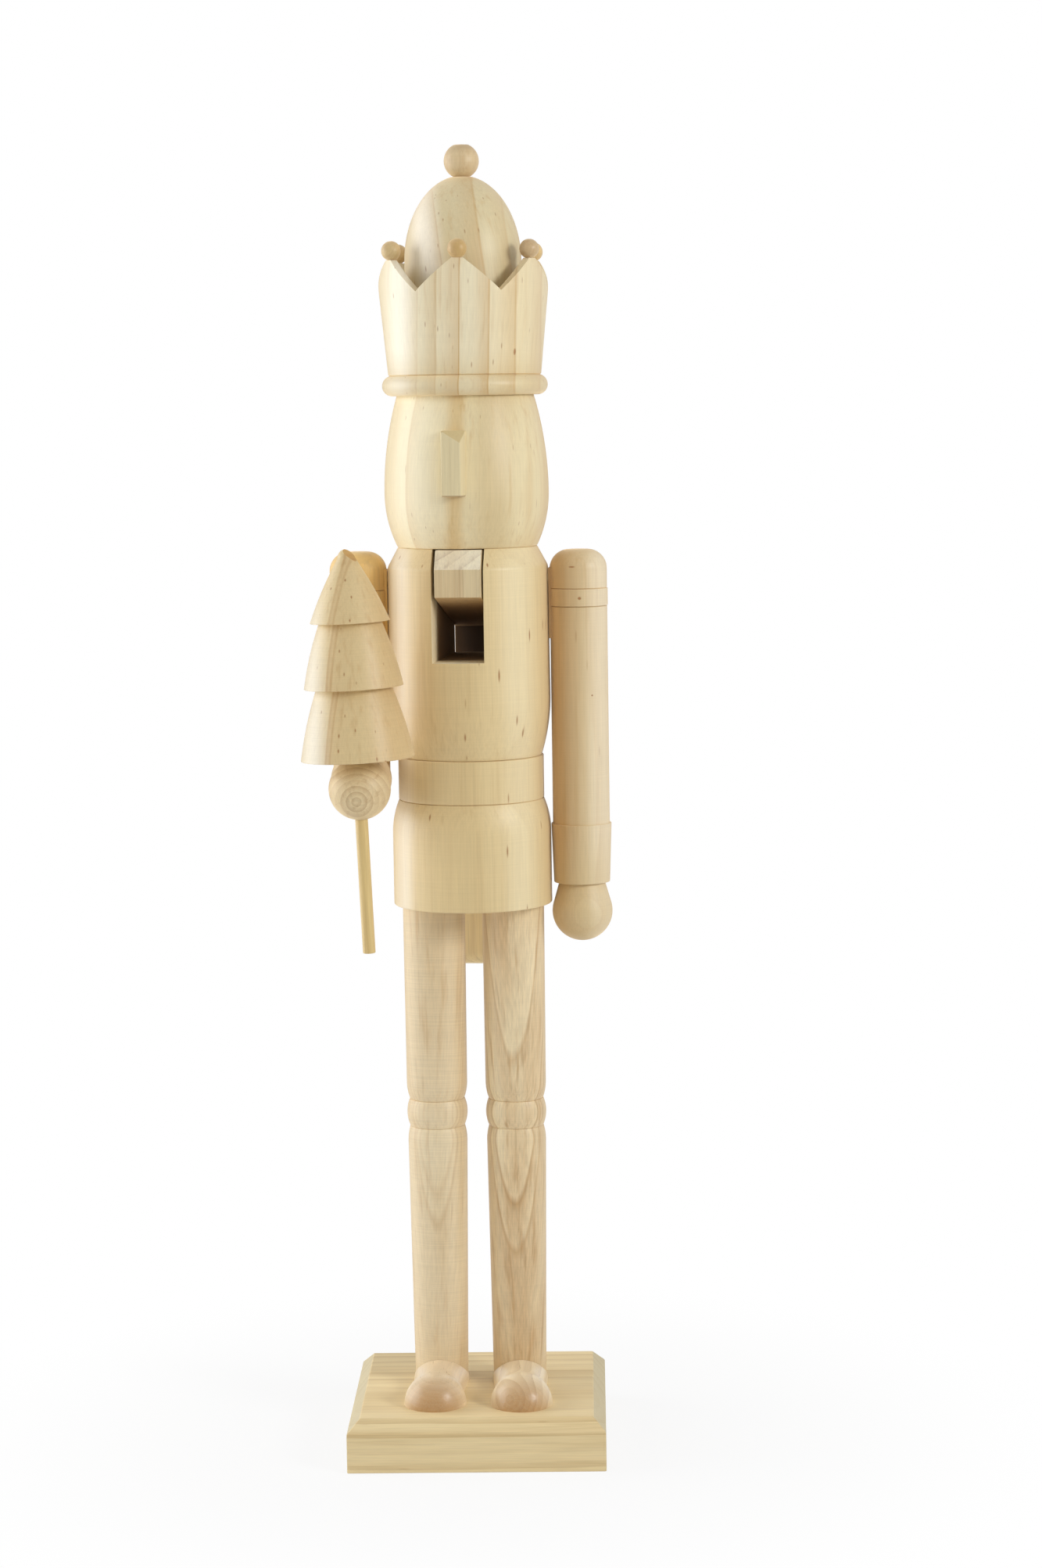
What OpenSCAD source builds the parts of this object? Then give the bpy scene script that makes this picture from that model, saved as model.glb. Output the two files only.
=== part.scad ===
// Unpainted standing nutcracker figure, turned from wood, doweled and glued, with a lever jaw.
// Millimetres. Z is up, the figure faces -Y, the origin is the middle of the base underside.
// Left and right are the figure's own.

/* [Base] */
// Base block, left to right
base_w = 120; // [100:1:140]
// Base block, front to back
base_d = 122; // [100:1:140]
// Base block thickness
base_h = 24.5; // [18:0.5:30]
// Slope planed along the top edges of the base
base_slope = 6; // [2:0.5:10]
// Turn of the base block against the figure
base_turn = 2; // [-6:0.5:6]
// Figure axis behind the middle of the base
figure_back = 9; // [0:0.5:15]

/* [Legs] */
// Leg length from the base to the torso
leg_h = 231.5; // [200:0.5:260]
// Distance between the two leg axes
leg_spacing = 37.6; // [34:0.2:42]
// Leg diameter under the torso
leg_top_d = 29.4; // [24:0.2:32]
// Leg diameter at the knee band
knee_d = 28.7; // [24:0.1:32]
// Leg diameter just under the knee band
calf_d = 28.2; // [23:0.1:31]
// Leg diameter at the base
ankle_d = 25.2; // [20:0.2:29]
// Middle of the knee band above the base
knee_z = 131.1; // [100:0.5:160]
// Distance between the two knee grooves
knee_h = 12.8; // [8:0.2:22]
// Height of the slope from a knee groove out to the leg
knee_groove_w = 4.2; // [1.5:0.1:6]
// Depth of a knee groove
knee_groove_t = 1.3; // [0.4:0.1:1.8]

/* [Feet] */
// Diameter of the ball toe
toe_d = 29.2; // [24:0.2:34]
// Diameter of the instep behind the toe
instep_d = 21.8; // [18:0.2:28]
// Diameter of the instep where it meets the leg
instep_back_d = 25.6; // [20:0.2:30]
// Front of the toe ahead of the figure axis
toe_reach = 56.5; // [48:0.5:60]
// Outward turn of the left foot
left_toe_out = 4; // [0:0.5:8]
// Outward turn of the right foot
right_toe_out = 0; // [0:0.5:8]
// Glue line between a foot and its leg
foot_glue = 0.3; // [0.2:0.05:0.5]

/* [Torso] */
// Torso height from skirt edge to neck
torso_h = 168.3; // [150:0.1:190]
// Diameter of the skirt where it meets the belt
skirt_neck_d = 68.4; // [60:0.2:76]
// Flare of the skirt past its neck, on the radius
skirt_flare = 3.2; // [1:0.1:8]
// Height of the curve from skirt to belt
skirt_curve = 15.7; // [8:0.1:24]
// Belt diameter
belt_d = 68.6; // [60:0.2:78]
// Underside of the belt above the skirt edge
belt_z = 49.7; // [40:0.1:60]
// Belt height
belt_h = 20.8; // [14:0.1:28]
// Diameter of the waist above the belt
waist_d = 67.2; // [58:0.2:76]
// Height of the curve from waist to body
waist_curve = 28; // [12:0.1:32]
// Swell of the body past the waist, on the radius
body_swell = 4.3; // [1:0.1:9]
// Diameter under the sloped shoulder edge
chest_d = 75.1; // [66:0.1:84]
// Diameter of the neck face
neck_d = 65.2; // [56:0.2:72]
// Height of the sloped shoulder edge
shoulder_slope = 10.4; // [6:0.1:14]

/* [Jaw] */
// Width of the mouth slot
slot_w = 24.2; // [18:0.2:28]
// Floor of the mouth slot above the skirt edge
slot_z = 116; // [105:0.5:130]
// Turn of the mouth toward the figure's right
mouth_turn = 4.3; // [-8:0.1:8]
// Slack turn of the lever back inside the slot
lever_skew = 0.6; // [0:0.1:1]
// Gap on each side of the lever in the slot
jaw_side = 1.1; // [0.8:0.1:3]
// Gap between the closed jaw and the head
jaw_gap = 0.4; // [0.3:0.05:0.8]
// Setback of the jaw face from the front of the chest
jaw_setback = 0.3; // [0:0.1:1.5]
// Height of the upright jaw face
jaw_face_h = 12.6; // [8:0.1:18]
// Length of the level top of the jaw
jaw_top_l = 27; // [20:0.5:34]
// Thickness of the lever tail
tail_t = 14; // [10:0.5:18]
// Gap between the tail and the back of the body
tail_gap = 1.4; // [1:0.1:4]
// Tail end below the skirt edge
tail_drop = 37; // [20:0.5:60]
// Inner corner of the lever above the slot floor
tail_corner = 12.5; // [8:0.5:20]
// Rise of the rounded back corner of the lever above its inner corner
tail_rise = 4; // [0:0.5:10]
// Pin behind the figure axis
pin_back = 12; // [4:0.5:16]
// Pin below the neck face
pin_down = 21.3; // [16:0.1:26]
// Pin diameter
pin_d = 5; // [4:0.5:8]
// Pin ends below the side of the chest
pin_inset = 1.5; // [0.5:0.1:3]
// Play of the lever on its pin, on the radius
pin_play = 0.08; // [0.02:0.01:0.1]

/* [Head] */
// Head height
head_h = 70.2; // [60:0.1:80]
// Greatest head diameter
head_d = 76.8; // [68:0.2:84]
// Head diameter at the neck
head_foot_d = 65.2; // [56:0.2:72]
// Head diameter under the crown
head_top_d = 64; // [56:0.2:72]
// Height of the greatest diameter
head_bulge_z = 25; // [15:0.5:40]
// Turn of the nose toward the figure's right
nose_turn = 5; // [-10:0.5:10]
// Nose height
nose_h = 30; // [20:0.5:36]
// Nose width at the head
nose_back_w = 11; // [8:0.2:14]
// Nose width at the front
nose_front_w = 8.7; // [6:0.1:12]
// Nose projection from the head
nose_out = 7.4; // [4:0.1:12]
// Depth of the nose let into the head
nose_tenon = 8; // [5:0.5:12]
// Underside of the nose above the neck
nose_z = 24.3; // [15:0.1:35]
// Fall of the slanted nose top across the nose
nose_top_side = 5.6; // [0:0.1:8]
// Fall of the slanted nose top from back to front
nose_top_front = 5.4; // [0:0.1:8]

/* [Crown] */
// Height of the foot ring
ring_h = 9.4; // [6:0.1:12]
// Diameter of the foot ring
ring_d = 77.2; // [68:0.2:84]
// Wall diameter above the foot ring
crown_foot_d = 71.2; // [62:0.2:78]
// Height of the greatest wall diameter
crown_bulge_z = 51.5; // [40:0.5:58]
// Height of the start of the lip curve
crown_lip_z = 46; // [36:0.5:50]
// Radius of the lip curve
crown_lip_r = 55; // [30:1:90]
// Height of the points
crown_h = 62.1; // [52:0.1:70]
// Height of the notches between the points
notch_z = 47.3; // [36:0.1:54]
// Flat width on top of a point
point_w = 5; // [3:0.2:8]
// Floor thickness of the crown
crown_floor = 19.5; // [12:0.5:26]
// Inside diameter at the floor
crown_floor_d = 64; // [56:0.5:68]
// Inside diameter at the rim
crown_rim_d = 70; // [60:0.5:74]
// Greatest wall thickness at the rim
crown_wall = 4.4; // [2:0.1:8]
// Bead diameter
bead_d = 9; // [7:0.1:11]
// Flat under a bead
bead_flat = 0.3; // [0.1:0.05:0.6]
// Dome diameter
dome_d = 54.4; // [46:0.2:58]
// Height of the curved part of the dome
dome_h = 39.5; // [30:0.5:46]
// Start of the curve above the crown foot
dome_z = 61.5; // [50:0.5:66]
// Flat on top of the dome under the finial ball
dome_flat_d = 10.4; // [6:0.2:14]
// Finial ball diameter
finial_d = 16.3; // [12:0.1:20]
// Flats on the finial ball, from its middle
finial_flat = 7.4; // [6:0.1:8]

/* [Arms] */
// Arm length from shoulder to fingertips
arm_l = 184.8; // [160:0.2:200]
// Arm diameter
arm_d = 26.8; // [22:0.2:30]
// Top of the shoulders below the neck face
arm_down = 1.9; // [0:0.1:8]
// Rounding of the shoulder top
shoulder_r = 9; // [5:0.5:12]
// Shoulder band below the shoulder top
band_down = 18.3; // [12:0.1:26]
// Shoulder band height
band_h = 7.9; // [5:0.1:12]
// Shoulder band diameter
band_d = 27.4; // [24:0.1:32]
// Cuff diameter at its upper edge
cuff_d = 28.4; // [25:0.2:33]
// Cuff diameter at the hand
cuff_end_d = 26.4; // [22:0.2:30]
// Cuff length
cuff_l = 28; // [20:0.5:36]
// Hand ball diameter
hand_d = 28.4; // [25:0.2:34]
// Wrist diameter
wrist_d = 23.6; // [18:0.2:26]
// Hand middle beyond the cuff
wrist_l = 13.8; // [10:0.2:18]
// Gap between an arm and the torso at their widest
arm_gap = 0.1; // [0.05:0.05:1]
// Height of the square pad between a shoulder and the torso
pad_h = 33; // [20:0.5:40]
// Width of that pad
pad_w = 9; // [6:0.5:14]
// Pad below the shoulder top
pad_down = 8.4; // [6:0.2:14]
// Elbow of the right arm above the skirt edge
elbow_z = 61; // [50:0.2:70]
// Right fist ahead of the upper arm
fist_reach = 59; // [50:0.5:70]
// Inward turn of the right forearm
forearm_turn = 4.6; // [0:0.2:8]

/* [Tree] */
// Lean of the tree and staff toward the figure's right
tree_lean = 2.2; // [0:0.1:8]
// Height of the lowest tier
tier_3_h = 32.6; // [24:0.1:40]
// Height of the middle tier
tier_2_h = 29.7; // [24:0.1:40]
// Height of the top tier
tier_1_h = 33; // [26:0.1:44]
// Lower diameter of the lowest tier
tier_3_d = 52; // [40:0.5:60]
// Upper diameter of the lowest tier
tier_3_top_d = 34.4; // [26:0.2:44]
// Lower diameter of the middle tier
tier_2_d = 45.4; // [34:0.2:54]
// Upper diameter of the middle tier
tier_2_top_d = 28.4; // [20:0.2:38]
// Lower diameter of the top tier
tier_1_d = 36.6; // [26:0.2:44]
// Diameter of the rounded tip
tree_tip_d = 8; // [3:0.2:11]
// Swell of the tier sides
tier_swell = 0.8; // [0:0.1:2]
// Staff diameter
staff_d = 5.8; // [4:0.1:8]
// Staff below the fist
staff_below = 61.5; // [30:0.5:90]
// Staff depth in the tree
staff_in = 40; // [20:1:80]
// Play of the staff in the fist, on the radius
staff_play = 0.1; // [0.05:0.01:0.2]

/* [Dowels and screws] */
// Glue line around a dowel, on the radius
glue = 0.05; // [0.02:0.01:0.1]
// Room at the bottom of a dowel hole
hole_end = 0.5; // [0.2:0.1:1]
// Hip dowel diameter
hip_dowel_d = 10; // [6:1:12]
// Hip dowel length
hip_dowel_l = 40; // [24:2:50]
// Neck dowel diameter
neck_dowel_d = 8; // [6:1:10]
// Neck dowel length
neck_dowel_l = 24; // [16:2:30]
// Neck dowels to the side of the figure axis
neck_dowel_x = 22; // [18:0.5:26]
// Neck dowels in front of the figure axis
neck_dowel_y = 12; // [10:0.5:16]
// Shoulder dowel diameter
shoulder_dowel_d = 8; // [6:1:10]
// Shoulder dowel length
shoulder_dowel_l = 26; // [18:2:34]
// Shoulder dowels below the shoulder top
shoulder_dowel_down = 13; // [9:0.5:16]
// Elbow dowel diameter
elbow_dowel_d = 7; // [5:1:9]
// Elbow dowel length
elbow_dowel_l = 22; // [14:2:26]
// Foot dowel diameter
foot_dowel_d = 6; // [4:1:8]
// Foot dowel length
foot_dowel_l = 18; // [12:2:24]
// Foot dowels ahead of the figure axis
foot_dowel_reach = 34; // [26:0.5:44]
// Crown dowel diameter
crown_dowel_d = 12; // [8:1:16]
// Crown dowel depth in the head and in the dome
crown_dowel_in = 20; // [12:1:28]
// Finial dowel diameter
finial_dowel_d = 4; // [3:0.5:6]
// Finial dowel depth in the ball and in the dome
finial_dowel_in = 6; // [4:0.5:9]
// Bead pin diameter
bead_pin_d = 1.6; // [1:0.1:2]
// Bead pin depth in the bead and in the crown
bead_pin_in = 4; // [3:0.5:6]
// Screw shank diameter
screw_d = 4; // [3:0.5:5]
// Screw length
screw_l = 50; // [40:5:70]
// Screw head diameter
screw_head_d = 8; // [6:0.5:10]
// Screw head height
screw_head_h = 2.6; // [2:0.1:4]
// Length of the cross slot in a screw head
screw_cross_l = 4.8; // [3:0.2:6]
// Width of the cross slot
screw_cross_w = 1; // [0.6:0.1:1.4]
// Depth of the cross slot
screw_cross_t = 1.2; // [0.8:0.1:1.8]
// Screw head below the base underside
screw_sink = 0.6; // [0.2:0.1:2]

/* [Hidden] */
$fn = 96;
fine = 360;
cut = 1;

crown_points = 6;
skirt_d = skirt_neck_d + 2 * skirt_flare;
body_d = waist_d + 2 * body_swell;
girth = max(body_d, belt_d, chest_d);
jaw_w = slot_w - 2 * jaw_side;
crown_d = crown_rim_d + 2 * crown_wall;
torso_z = base_h + leg_h;
neck_z = torso_z + torso_h;
crown_z = neck_z + head_h;
dome_a = acos(dome_flat_d / dome_d);
finial_z = dome_z + dome_h * sin(dome_a);
leg_x = leg_spacing / 2;
belt_top = belt_z + belt_h;
body_z = belt_top + waist_curve;
pin_z = torso_h - pin_down;
pin_l = 2 * sqrt(pow(chest_d / 2, 2) - pow(pin_back, 2)) - 2 * pin_inset;
arm_x = max(skirt_d + max(cuff_d, hand_d), girth + max(arm_d, band_d)) / 2 + arm_gap;
arm_z = neck_z - arm_down - arm_l;
cuff_z = hand_d / 2 + wrist_l;
cuff_top = cuff_z + cuff_l;
elbow_at = torso_z + elbow_z;
forearm_l = fist_reach + hand_d / 2;
lip_d = lip_at(crown_lip_z);
bead_ring_r = (lip_at(crown_h) + crown_rim_d) / 4;
staff_hole_d = staff_d + 2 * staff_play;
tree_seat = sqrt(pow(hand_d, 2) - pow(staff_hole_d, 2)) / 2 + staff_play;
tree_l = tier_1_h + tier_2_h + tier_3_h;
head_front = -head_d / 2;
nose_front = head_front - nose_out;

// Radius of an arc that falls in by s over a height h
function arc_r(s, h) = (s * s + h * h) / (2 * s);

// Diameter of the crown's lip curve at height z
function lip_at(z) = crown_d - 2 * crown_lip_r + 2 * sqrt(pow(crown_lip_r, 2) - pow(crown_bulge_z - z, 2));

// Points on an arc from angle a0 to angle a1
function arc(c, r, a0, a1) = [for (i = [0:8]) let(a = a0 + (a1 - a0) * i / 8) c + r * [cos(a), sin(a)]];

// Points on a sloping side that swells by s in its middle
function swell(a, b, s) = [for (i = [0:6]) a + (b - a) * i / 6 + [s * sin(30 * i), 0]];

// Stretch of a turned outline that is widest at z_max
module bulge(r_max, z_max, r_arc, z_lo, z_hi) {
    intersection() {
        translate([0, z_lo]) square([r_max, z_hi - z_lo]);
        translate([r_max - r_arc, z_max]) circle(r_arc, $fn = fine);
    }
}

// Half of a disc on the turning axis
module half_disc(d, z) {
    intersection() {
        translate([0, z]) circle(d = d);
        translate([0, z - d]) square([d, 2 * d]);
    }
}

module dowel(d, l) {
    cylinder(d = d, h = l, center = true);
}

module dowel_hole(d, l) {
    dowel(d + 2 * glue, l + 2 * hole_end);
}

module at_figure(z) {
    translate([0, figure_back, z]) children();
}

module at_leg(side, z) {
    translate([side * leg_x, figure_back, z]) children();
}

module at_mouth(z) {
    at_figure(z) rotate([0, 0, -mouth_turn]) children();
}

module at_lever(z) {
    at_mouth(z) rotate([0, 0, lever_skew]) children();
}

module at_pin() {
    at_lever(torso_z + pin_z) translate([0, pin_back, 0]) rotate([0, 90, 0]) children();
}

module at_shoulder(side) {
    at_figure(arm_z + arm_l - shoulder_dowel_down)
        translate([side * (chest_d / 2 + arm_x - arm_d / 2) / 2, 0, 0]) rotate([0, 90, 0]) children();
}

module at_forearm() {
    translate([-arm_x, figure_back, elbow_at]) rotate([0, 0, forearm_turn]) children();
}

module at_mitre() {
    at_forearm() rotate([-45, 0, 0]) children();
}

module at_staff() {
    at_forearm() translate([0, -fist_reach, 0]) rotate([0, -tree_lean, -forearm_turn]) children();
}

module at_neck_dowels() {
    for (side = [-1, 1]) at_figure(neck_z) translate([side * neck_dowel_x, -neck_dowel_y, 0]) children();
}

module at_point(i) {
    at_figure(crown_z + crown_h)
        rotate([0, 0, i * 360 / crown_points]) translate([0, -bead_ring_r, 0]) children();
}

// Outline of the base seen along one side
module base_outline(w) {
    polygon([[-w / 2, 0], [w / 2, 0], [w / 2, base_h - base_slope], [w / 2 - base_slope, base_h],
        [base_slope - w / 2, base_h], [-w / 2, base_h - base_slope]]);
}

// Countersunk screw pointing up, or the hole for it when there is a gap
module screw(gap) {
    d = screw_d + 2 * gap;
    translate([0, 0, screw_sink]) cylinder(d1 = screw_head_d + 2 * gap, d2 = d, h = screw_head_h);
    translate([0, 0, screw_sink]) cylinder(d = d, h = screw_l + gap);
}

module base() {
    color("#d9c48c") difference() {
        rotate([0, 0, base_turn]) intersection() {
            rotate([90, 0, 0]) linear_extrude(base_d, center = true) base_outline(base_w);
            rotate([90, 0, 90]) linear_extrude(base_w, center = true) base_outline(base_d);
        }
        for (side = [-1, 1]) {
            at_leg(side, 0) screw(glue);
            at_leg(side, -cut) cylinder(d = screw_head_d + 2 * glue, h = screw_sink + cut);
        }
        foot_dowel(1, left_toe_out, glue, hole_end);
        foot_dowel(-1, -right_toe_out, glue, hole_end);
    }
}

module leg_screws() {
    color("silver") for (side = [-1, 1]) at_leg(side, 0) difference() {
        screw(0);
        for (a = [0, 90]) rotate([0, 0, a]) translate([0, 0, screw_sink])
            cube([screw_cross_l, screw_cross_w, 2 * screw_cross_t], center = true);
    }
}

// Toe and instep are one turning cut in half lengthwise and scooped to sit against the leg
module foot(side, turn) {
    toe_y = toe_d / 2 - toe_reach;
    back_y = -ankle_d / 4;
    difference() {
        at_leg(side, base_h) rotate([0, 0, turn]) difference() {
            intersection() {
                union() {
                    translate([0, toe_y, 0]) sphere(d = toe_d);
                    translate([0, toe_y, 0]) rotate([-90, 0, 0])
                        cylinder(d1 = instep_d, d2 = instep_back_d, h = back_y - toe_y);
                }
                translate([-toe_d, -2 * toe_reach, 0]) cube([2 * toe_d, 2 * toe_reach, toe_d]);
            }
            cylinder(d = ankle_d + 2 * foot_glue, h = 3 * toe_d, center = true);
        }
        foot_dowel(side, turn, glue, hole_end);
    }
}

module foot_dowel(side, turn, gap, end) {
    at_leg(side, base_h) rotate([0, 0, turn]) translate([0, -foot_dowel_reach, 0])
        dowel(foot_dowel_d + 2 * gap, foot_dowel_l + 2 * end);
}

module left_foot() {
    color("#dcbf97") foot(1, left_toe_out);
}

module right_foot() {
    color("#dcbf97") foot(-1, -right_toe_out);
}

module foot_dowels() {
    color("#e0cda0") {
        foot_dowel(1, left_toe_out, 0, 0);
        foot_dowel(-1, -right_toe_out, 0, 0);
    }
}

// The knee is a round band between two grooves
module leg_outline() {
    lo = knee_z - knee_h / 2;
    hi = knee_z + knee_h / 2;
    r = knee_d / 2;
    groove = r - knee_groove_t;
    polygon([[0, 0], [ankle_d / 2, 0], [calf_d / 2, lo - knee_groove_w], [groove, lo], [groove, hi],
        [r, hi + knee_groove_w], [leg_top_d / 2, leg_h], [0, leg_h]]);
    bulge(r, knee_z, arc_r(knee_groove_t, knee_h / 2), lo, hi);
}

module leg(side) {
    difference() {
        at_leg(side, base_h) rotate_extrude() leg_outline();
        at_leg(side, torso_z) dowel_hole(hip_dowel_d, hip_dowel_l);
        at_leg(side, 0) screw(glue);
    }
}

module left_leg() {
    color("#dcc09a") leg(1);
}

module right_leg() {
    color("#dcc09a") leg(-1);
}

module hip_dowels() {
    color("#e0cda0") for (side = [-1, 1]) at_leg(side, torso_z) dowel(hip_dowel_d, hip_dowel_l);
}

// Skirt, belt, body and sloped shoulder edge
module torso_outline() {
    skirt_top = belt_z - skirt_curve;
    square([skirt_d / 2, skirt_top]);
    bulge(skirt_d / 2, skirt_top, arc_r((skirt_d - skirt_neck_d) / 2, skirt_curve), skirt_top, belt_z);
    translate([0, belt_z]) square([belt_d / 2, belt_h]);
    bulge(body_d / 2, body_z, arc_r((body_d - waist_d) / 2, waist_curve), belt_top, body_z);
    polygon([[0, body_z], [body_d / 2, body_z], [chest_d / 2, torso_h - shoulder_slope],
        [neck_d / 2, torso_h], [0, torso_h]]);
}

module torso() {
    color("#dcc596") difference() {
        at_figure(torso_z) rotate_extrude() torso_outline();
        at_mouth(torso_z + slot_z) translate([-slot_w / 2, -body_d, 0]) cube([slot_w, 2 * body_d, torso_h]);
        at_pin() dowel(pin_d + 2 * glue, 2 * body_d);
        for (side = [-1, 1]) {
            at_leg(side, torso_z) dowel_hole(hip_dowel_d, hip_dowel_l);
            at_shoulder(side) dowel_hole(shoulder_dowel_d, shoulder_dowel_l);
        }
        at_neck_dowels() dowel_hole(neck_dowel_d, neck_dowel_l);
    }
}

module pivot_pin() {
    color("silver") at_pin() dowel(pin_d, pin_l);
}

// Side view of the lever: jaw at the front, tail hanging at the back
module lever_outline() {
    top = torso_h - jaw_gap;
    face = jaw_setback - chest_d / 2;
    face_top = torso_h - shoulder_slope;
    tail = max(girth, skirt_d) / 2 + tail_gap;
    corner = slot_z + tail_corner;
    top_front = jaw_setback - neck_d / 2;
    top_end = [top_front + jaw_top_l, top];
    back = [tail, corner + tail_rise];
    slope = top_end - back;
    meet = atan2(slope[1], slope[0]) - acos(tail_t / norm(slope));
    polygon(concat(
        [[top_front, top], [face, face_top], [face, face_top - jaw_face_h], [tail, corner]],
        arc([tail + tail_t / 2, tail_t / 2 - tail_drop], tail_t / 2, 180, 360),
        arc(back, tail_t, 0, meet),
        [top_end]));
}

module jaw_lever() {
    color("#d6c09a") difference() {
        at_lever(torso_z) rotate([90, 0, 90]) linear_extrude(jaw_w, center = true) lever_outline();
        at_pin() dowel(pin_d + 2 * pin_play, 2 * jaw_w);
    }
}

module neck_dowels() {
    color("#e0cda0") at_neck_dowels() dowel(neck_dowel_d, neck_dowel_l);
}

module head_outline() {
    r = head_d / 2;
    bulge(r, head_bulge_z, arc_r(r - head_foot_d / 2, head_bulge_z), 0, head_bulge_z);
    bulge(r, head_bulge_z, arc_r(r - head_top_d / 2, head_h - head_bulge_z), head_bulge_z, head_h);
}

// Nose block with its tenon, or the mortise for it when there is a gap
module nose_block(gap) {
    back = head_front + nose_tenon + gap;
    w = nose_back_w / 2 + gap;
    translate([0, 0, nose_z - gap]) linear_extrude(nose_h + 2 * gap)
        polygon([[-w, back], [-w, head_front], [-nose_front_w / 2, nose_front],
            [nose_front_w / 2, nose_front], [w, head_front], [w, back]]);
}

module at_nose() {
    at_figure(neck_z) rotate([0, 0, -nose_turn]) children();
}

module head() {
    color("#e3d0a4") difference() {
        at_figure(neck_z) rotate_extrude() head_outline();
        at_nose() nose_block(glue);
        at_neck_dowels() dowel_hole(neck_dowel_d, neck_dowel_l);
        crown_dowel_at(glue, hole_end);
    }
}

module nose() {
    side_fall = nose_top_side / nose_front_w;
    front_fall = nose_top_front / nose_out;
    tilt = atan(sqrt(pow(side_fall, 2) + pow(front_fall, 2)));
    s = 4 * nose_h;
    color("#d8c9a2") at_nose() difference() {
        nose_block(0);
        translate([-nose_front_w / 2, nose_front, nose_z + nose_h])
            rotate([0, tilt, atan2(-front_fall, side_fall)]) translate([-s / 2, -s / 2, 0]) cube(s);
    }
}

module crown_dowel_at(gap, end) {
    at_figure(crown_z + crown_floor / 2)
        dowel(crown_dowel_d + 2 * gap, crown_floor + 2 * crown_dowel_in + 2 * end);
}

module crown_dowel() {
    color("#e0cda0") crown_dowel_at(0, 0);
}

module crown_outline() {
    ring_r = (ring_d - ring_h) / 2;
    difference() {
        union() {
            square([ring_r, ring_h]);
            translate([ring_r, ring_h / 2]) circle(d = ring_h);
            polygon([[0, ring_h / 2], [crown_foot_d / 2, ring_h / 2], [crown_foot_d / 2, ring_h],
                [lip_d / 2, crown_lip_z], [0, crown_lip_z]]);
            bulge(crown_d / 2, crown_bulge_z, crown_lip_r, crown_lip_z, crown_h);
        }
        polygon([[0, crown_floor], [crown_floor_d / 2, crown_floor], [crown_rim_d / 2, crown_lip_z],
            [crown_rim_d / 2, crown_h + cut], [0, crown_h + cut]]);
    }
}

// Cup with a half-round foot ring and pointed rim
module crown() {
    rise = crown_h - notch_z;
    half = bead_ring_r * sin(180 / crown_points - asin(point_w / 2 / bead_ring_r));
    color("#e6d5ab") difference() {
        at_figure(crown_z) rotate_extrude() crown_outline();
        for (i = [0:crown_points - 1])
            at_figure(crown_z + notch_z) rotate([0, 0, (i + 0.5) * 360 / crown_points])
                rotate([90, 0, 0]) linear_extrude(crown_d)
                    polygon([[0, 0], [2 * half, 2 * rise], [-2 * half, 2 * rise]]);
        crown_dowel_at(glue, hole_end);
        for (i = [0:crown_points - 1]) at_point(i) dowel_hole(bead_pin_d, 2 * bead_pin_in);
    }
}

module crown_dome() {
    color("#e6d5ab") difference() {
        at_figure(crown_z) rotate_extrude()
            polygon(concat([[0, crown_floor], [dome_d / 2, crown_floor]],
                [for (i = [0:16]) let(a = dome_a * i / 16) [dome_d / 2 * cos(a), dome_z + dome_h * sin(a)]],
                [[0, finial_z]]));
        crown_dowel_at(glue, hole_end);
        at_figure(crown_z + finial_z) dowel_hole(finial_dowel_d, 2 * finial_dowel_in);
    }
}

module finial_ball() {
    color("#e6d5ab") at_figure(crown_z + finial_z) difference() {
        translate([0, 0, finial_flat]) intersection() {
            sphere(d = finial_d);
            cube([finial_d, finial_d, 2 * finial_flat], center = true);
        }
        dowel_hole(finial_dowel_d, 2 * finial_dowel_in);
    }
}

module finial_dowel() {
    color("#e0cda0") at_figure(crown_z + finial_z) dowel(finial_dowel_d, 2 * finial_dowel_in);
}

module crown_bead(i) {
    color("#e6d5ab") at_point(i - 1) difference() {
        translate([0, 0, bead_d / 2 - bead_flat]) sphere(d = bead_d);
        translate([0, 0, -bead_d / 2]) cube(bead_d, center = true);
        dowel_hole(bead_pin_d, 2 * bead_pin_in);
    }
}

module bead_pins() {
    color("silver") for (i = [0:crown_points - 1]) at_point(i) dowel(bead_pin_d, 2 * bead_pin_in);
}

// Ball hand, wrist and cuff from the fingertips up
module hand_outline() {
    half_disc(hand_d, hand_d / 2);
    translate([0, hand_d / 2]) square([wrist_d / 2, wrist_l]);
    polygon([[0, cuff_z], [cuff_end_d / 2, cuff_z], [cuff_d / 2, cuff_top], [0, cuff_top]]);
}

// Arm from height z to the rounded shoulder
module upper_outline(z) {
    cap = arm_d / 2 - shoulder_r;
    translate([0, z]) square([arm_d / 2, arm_l - shoulder_r - z]);
    translate([0, arm_l - band_down - band_h]) square([band_d / 2, band_h]);
    translate([0, z]) square([cap, arm_l - z]);
    intersection() {
        translate([cap, arm_l - shoulder_r]) circle(shoulder_r);
        square([arm_d, 2 * arm_l]);
    }
}

// Glued against the torso
module arm_pad(side) {
    difference() {
        translate([side * arm_x / 2, figure_back, arm_z + arm_l - pad_down - pad_h / 2])
            cube([arm_x, pad_w, pad_h], center = true);
        at_figure(torso_z) cylinder(d = girth + 2 * arm_gap, h = torso_h);
    }
}

module left_arm() {
    color("#dcc09a") difference() {
        union() {
            translate([arm_x, figure_back, arm_z]) rotate_extrude() {
                hand_outline();
                upper_outline(cuff_top);
            }
            arm_pad(1);
        }
        at_shoulder(1) dowel_hole(shoulder_dowel_d, shoulder_dowel_l);
    }
}

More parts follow.
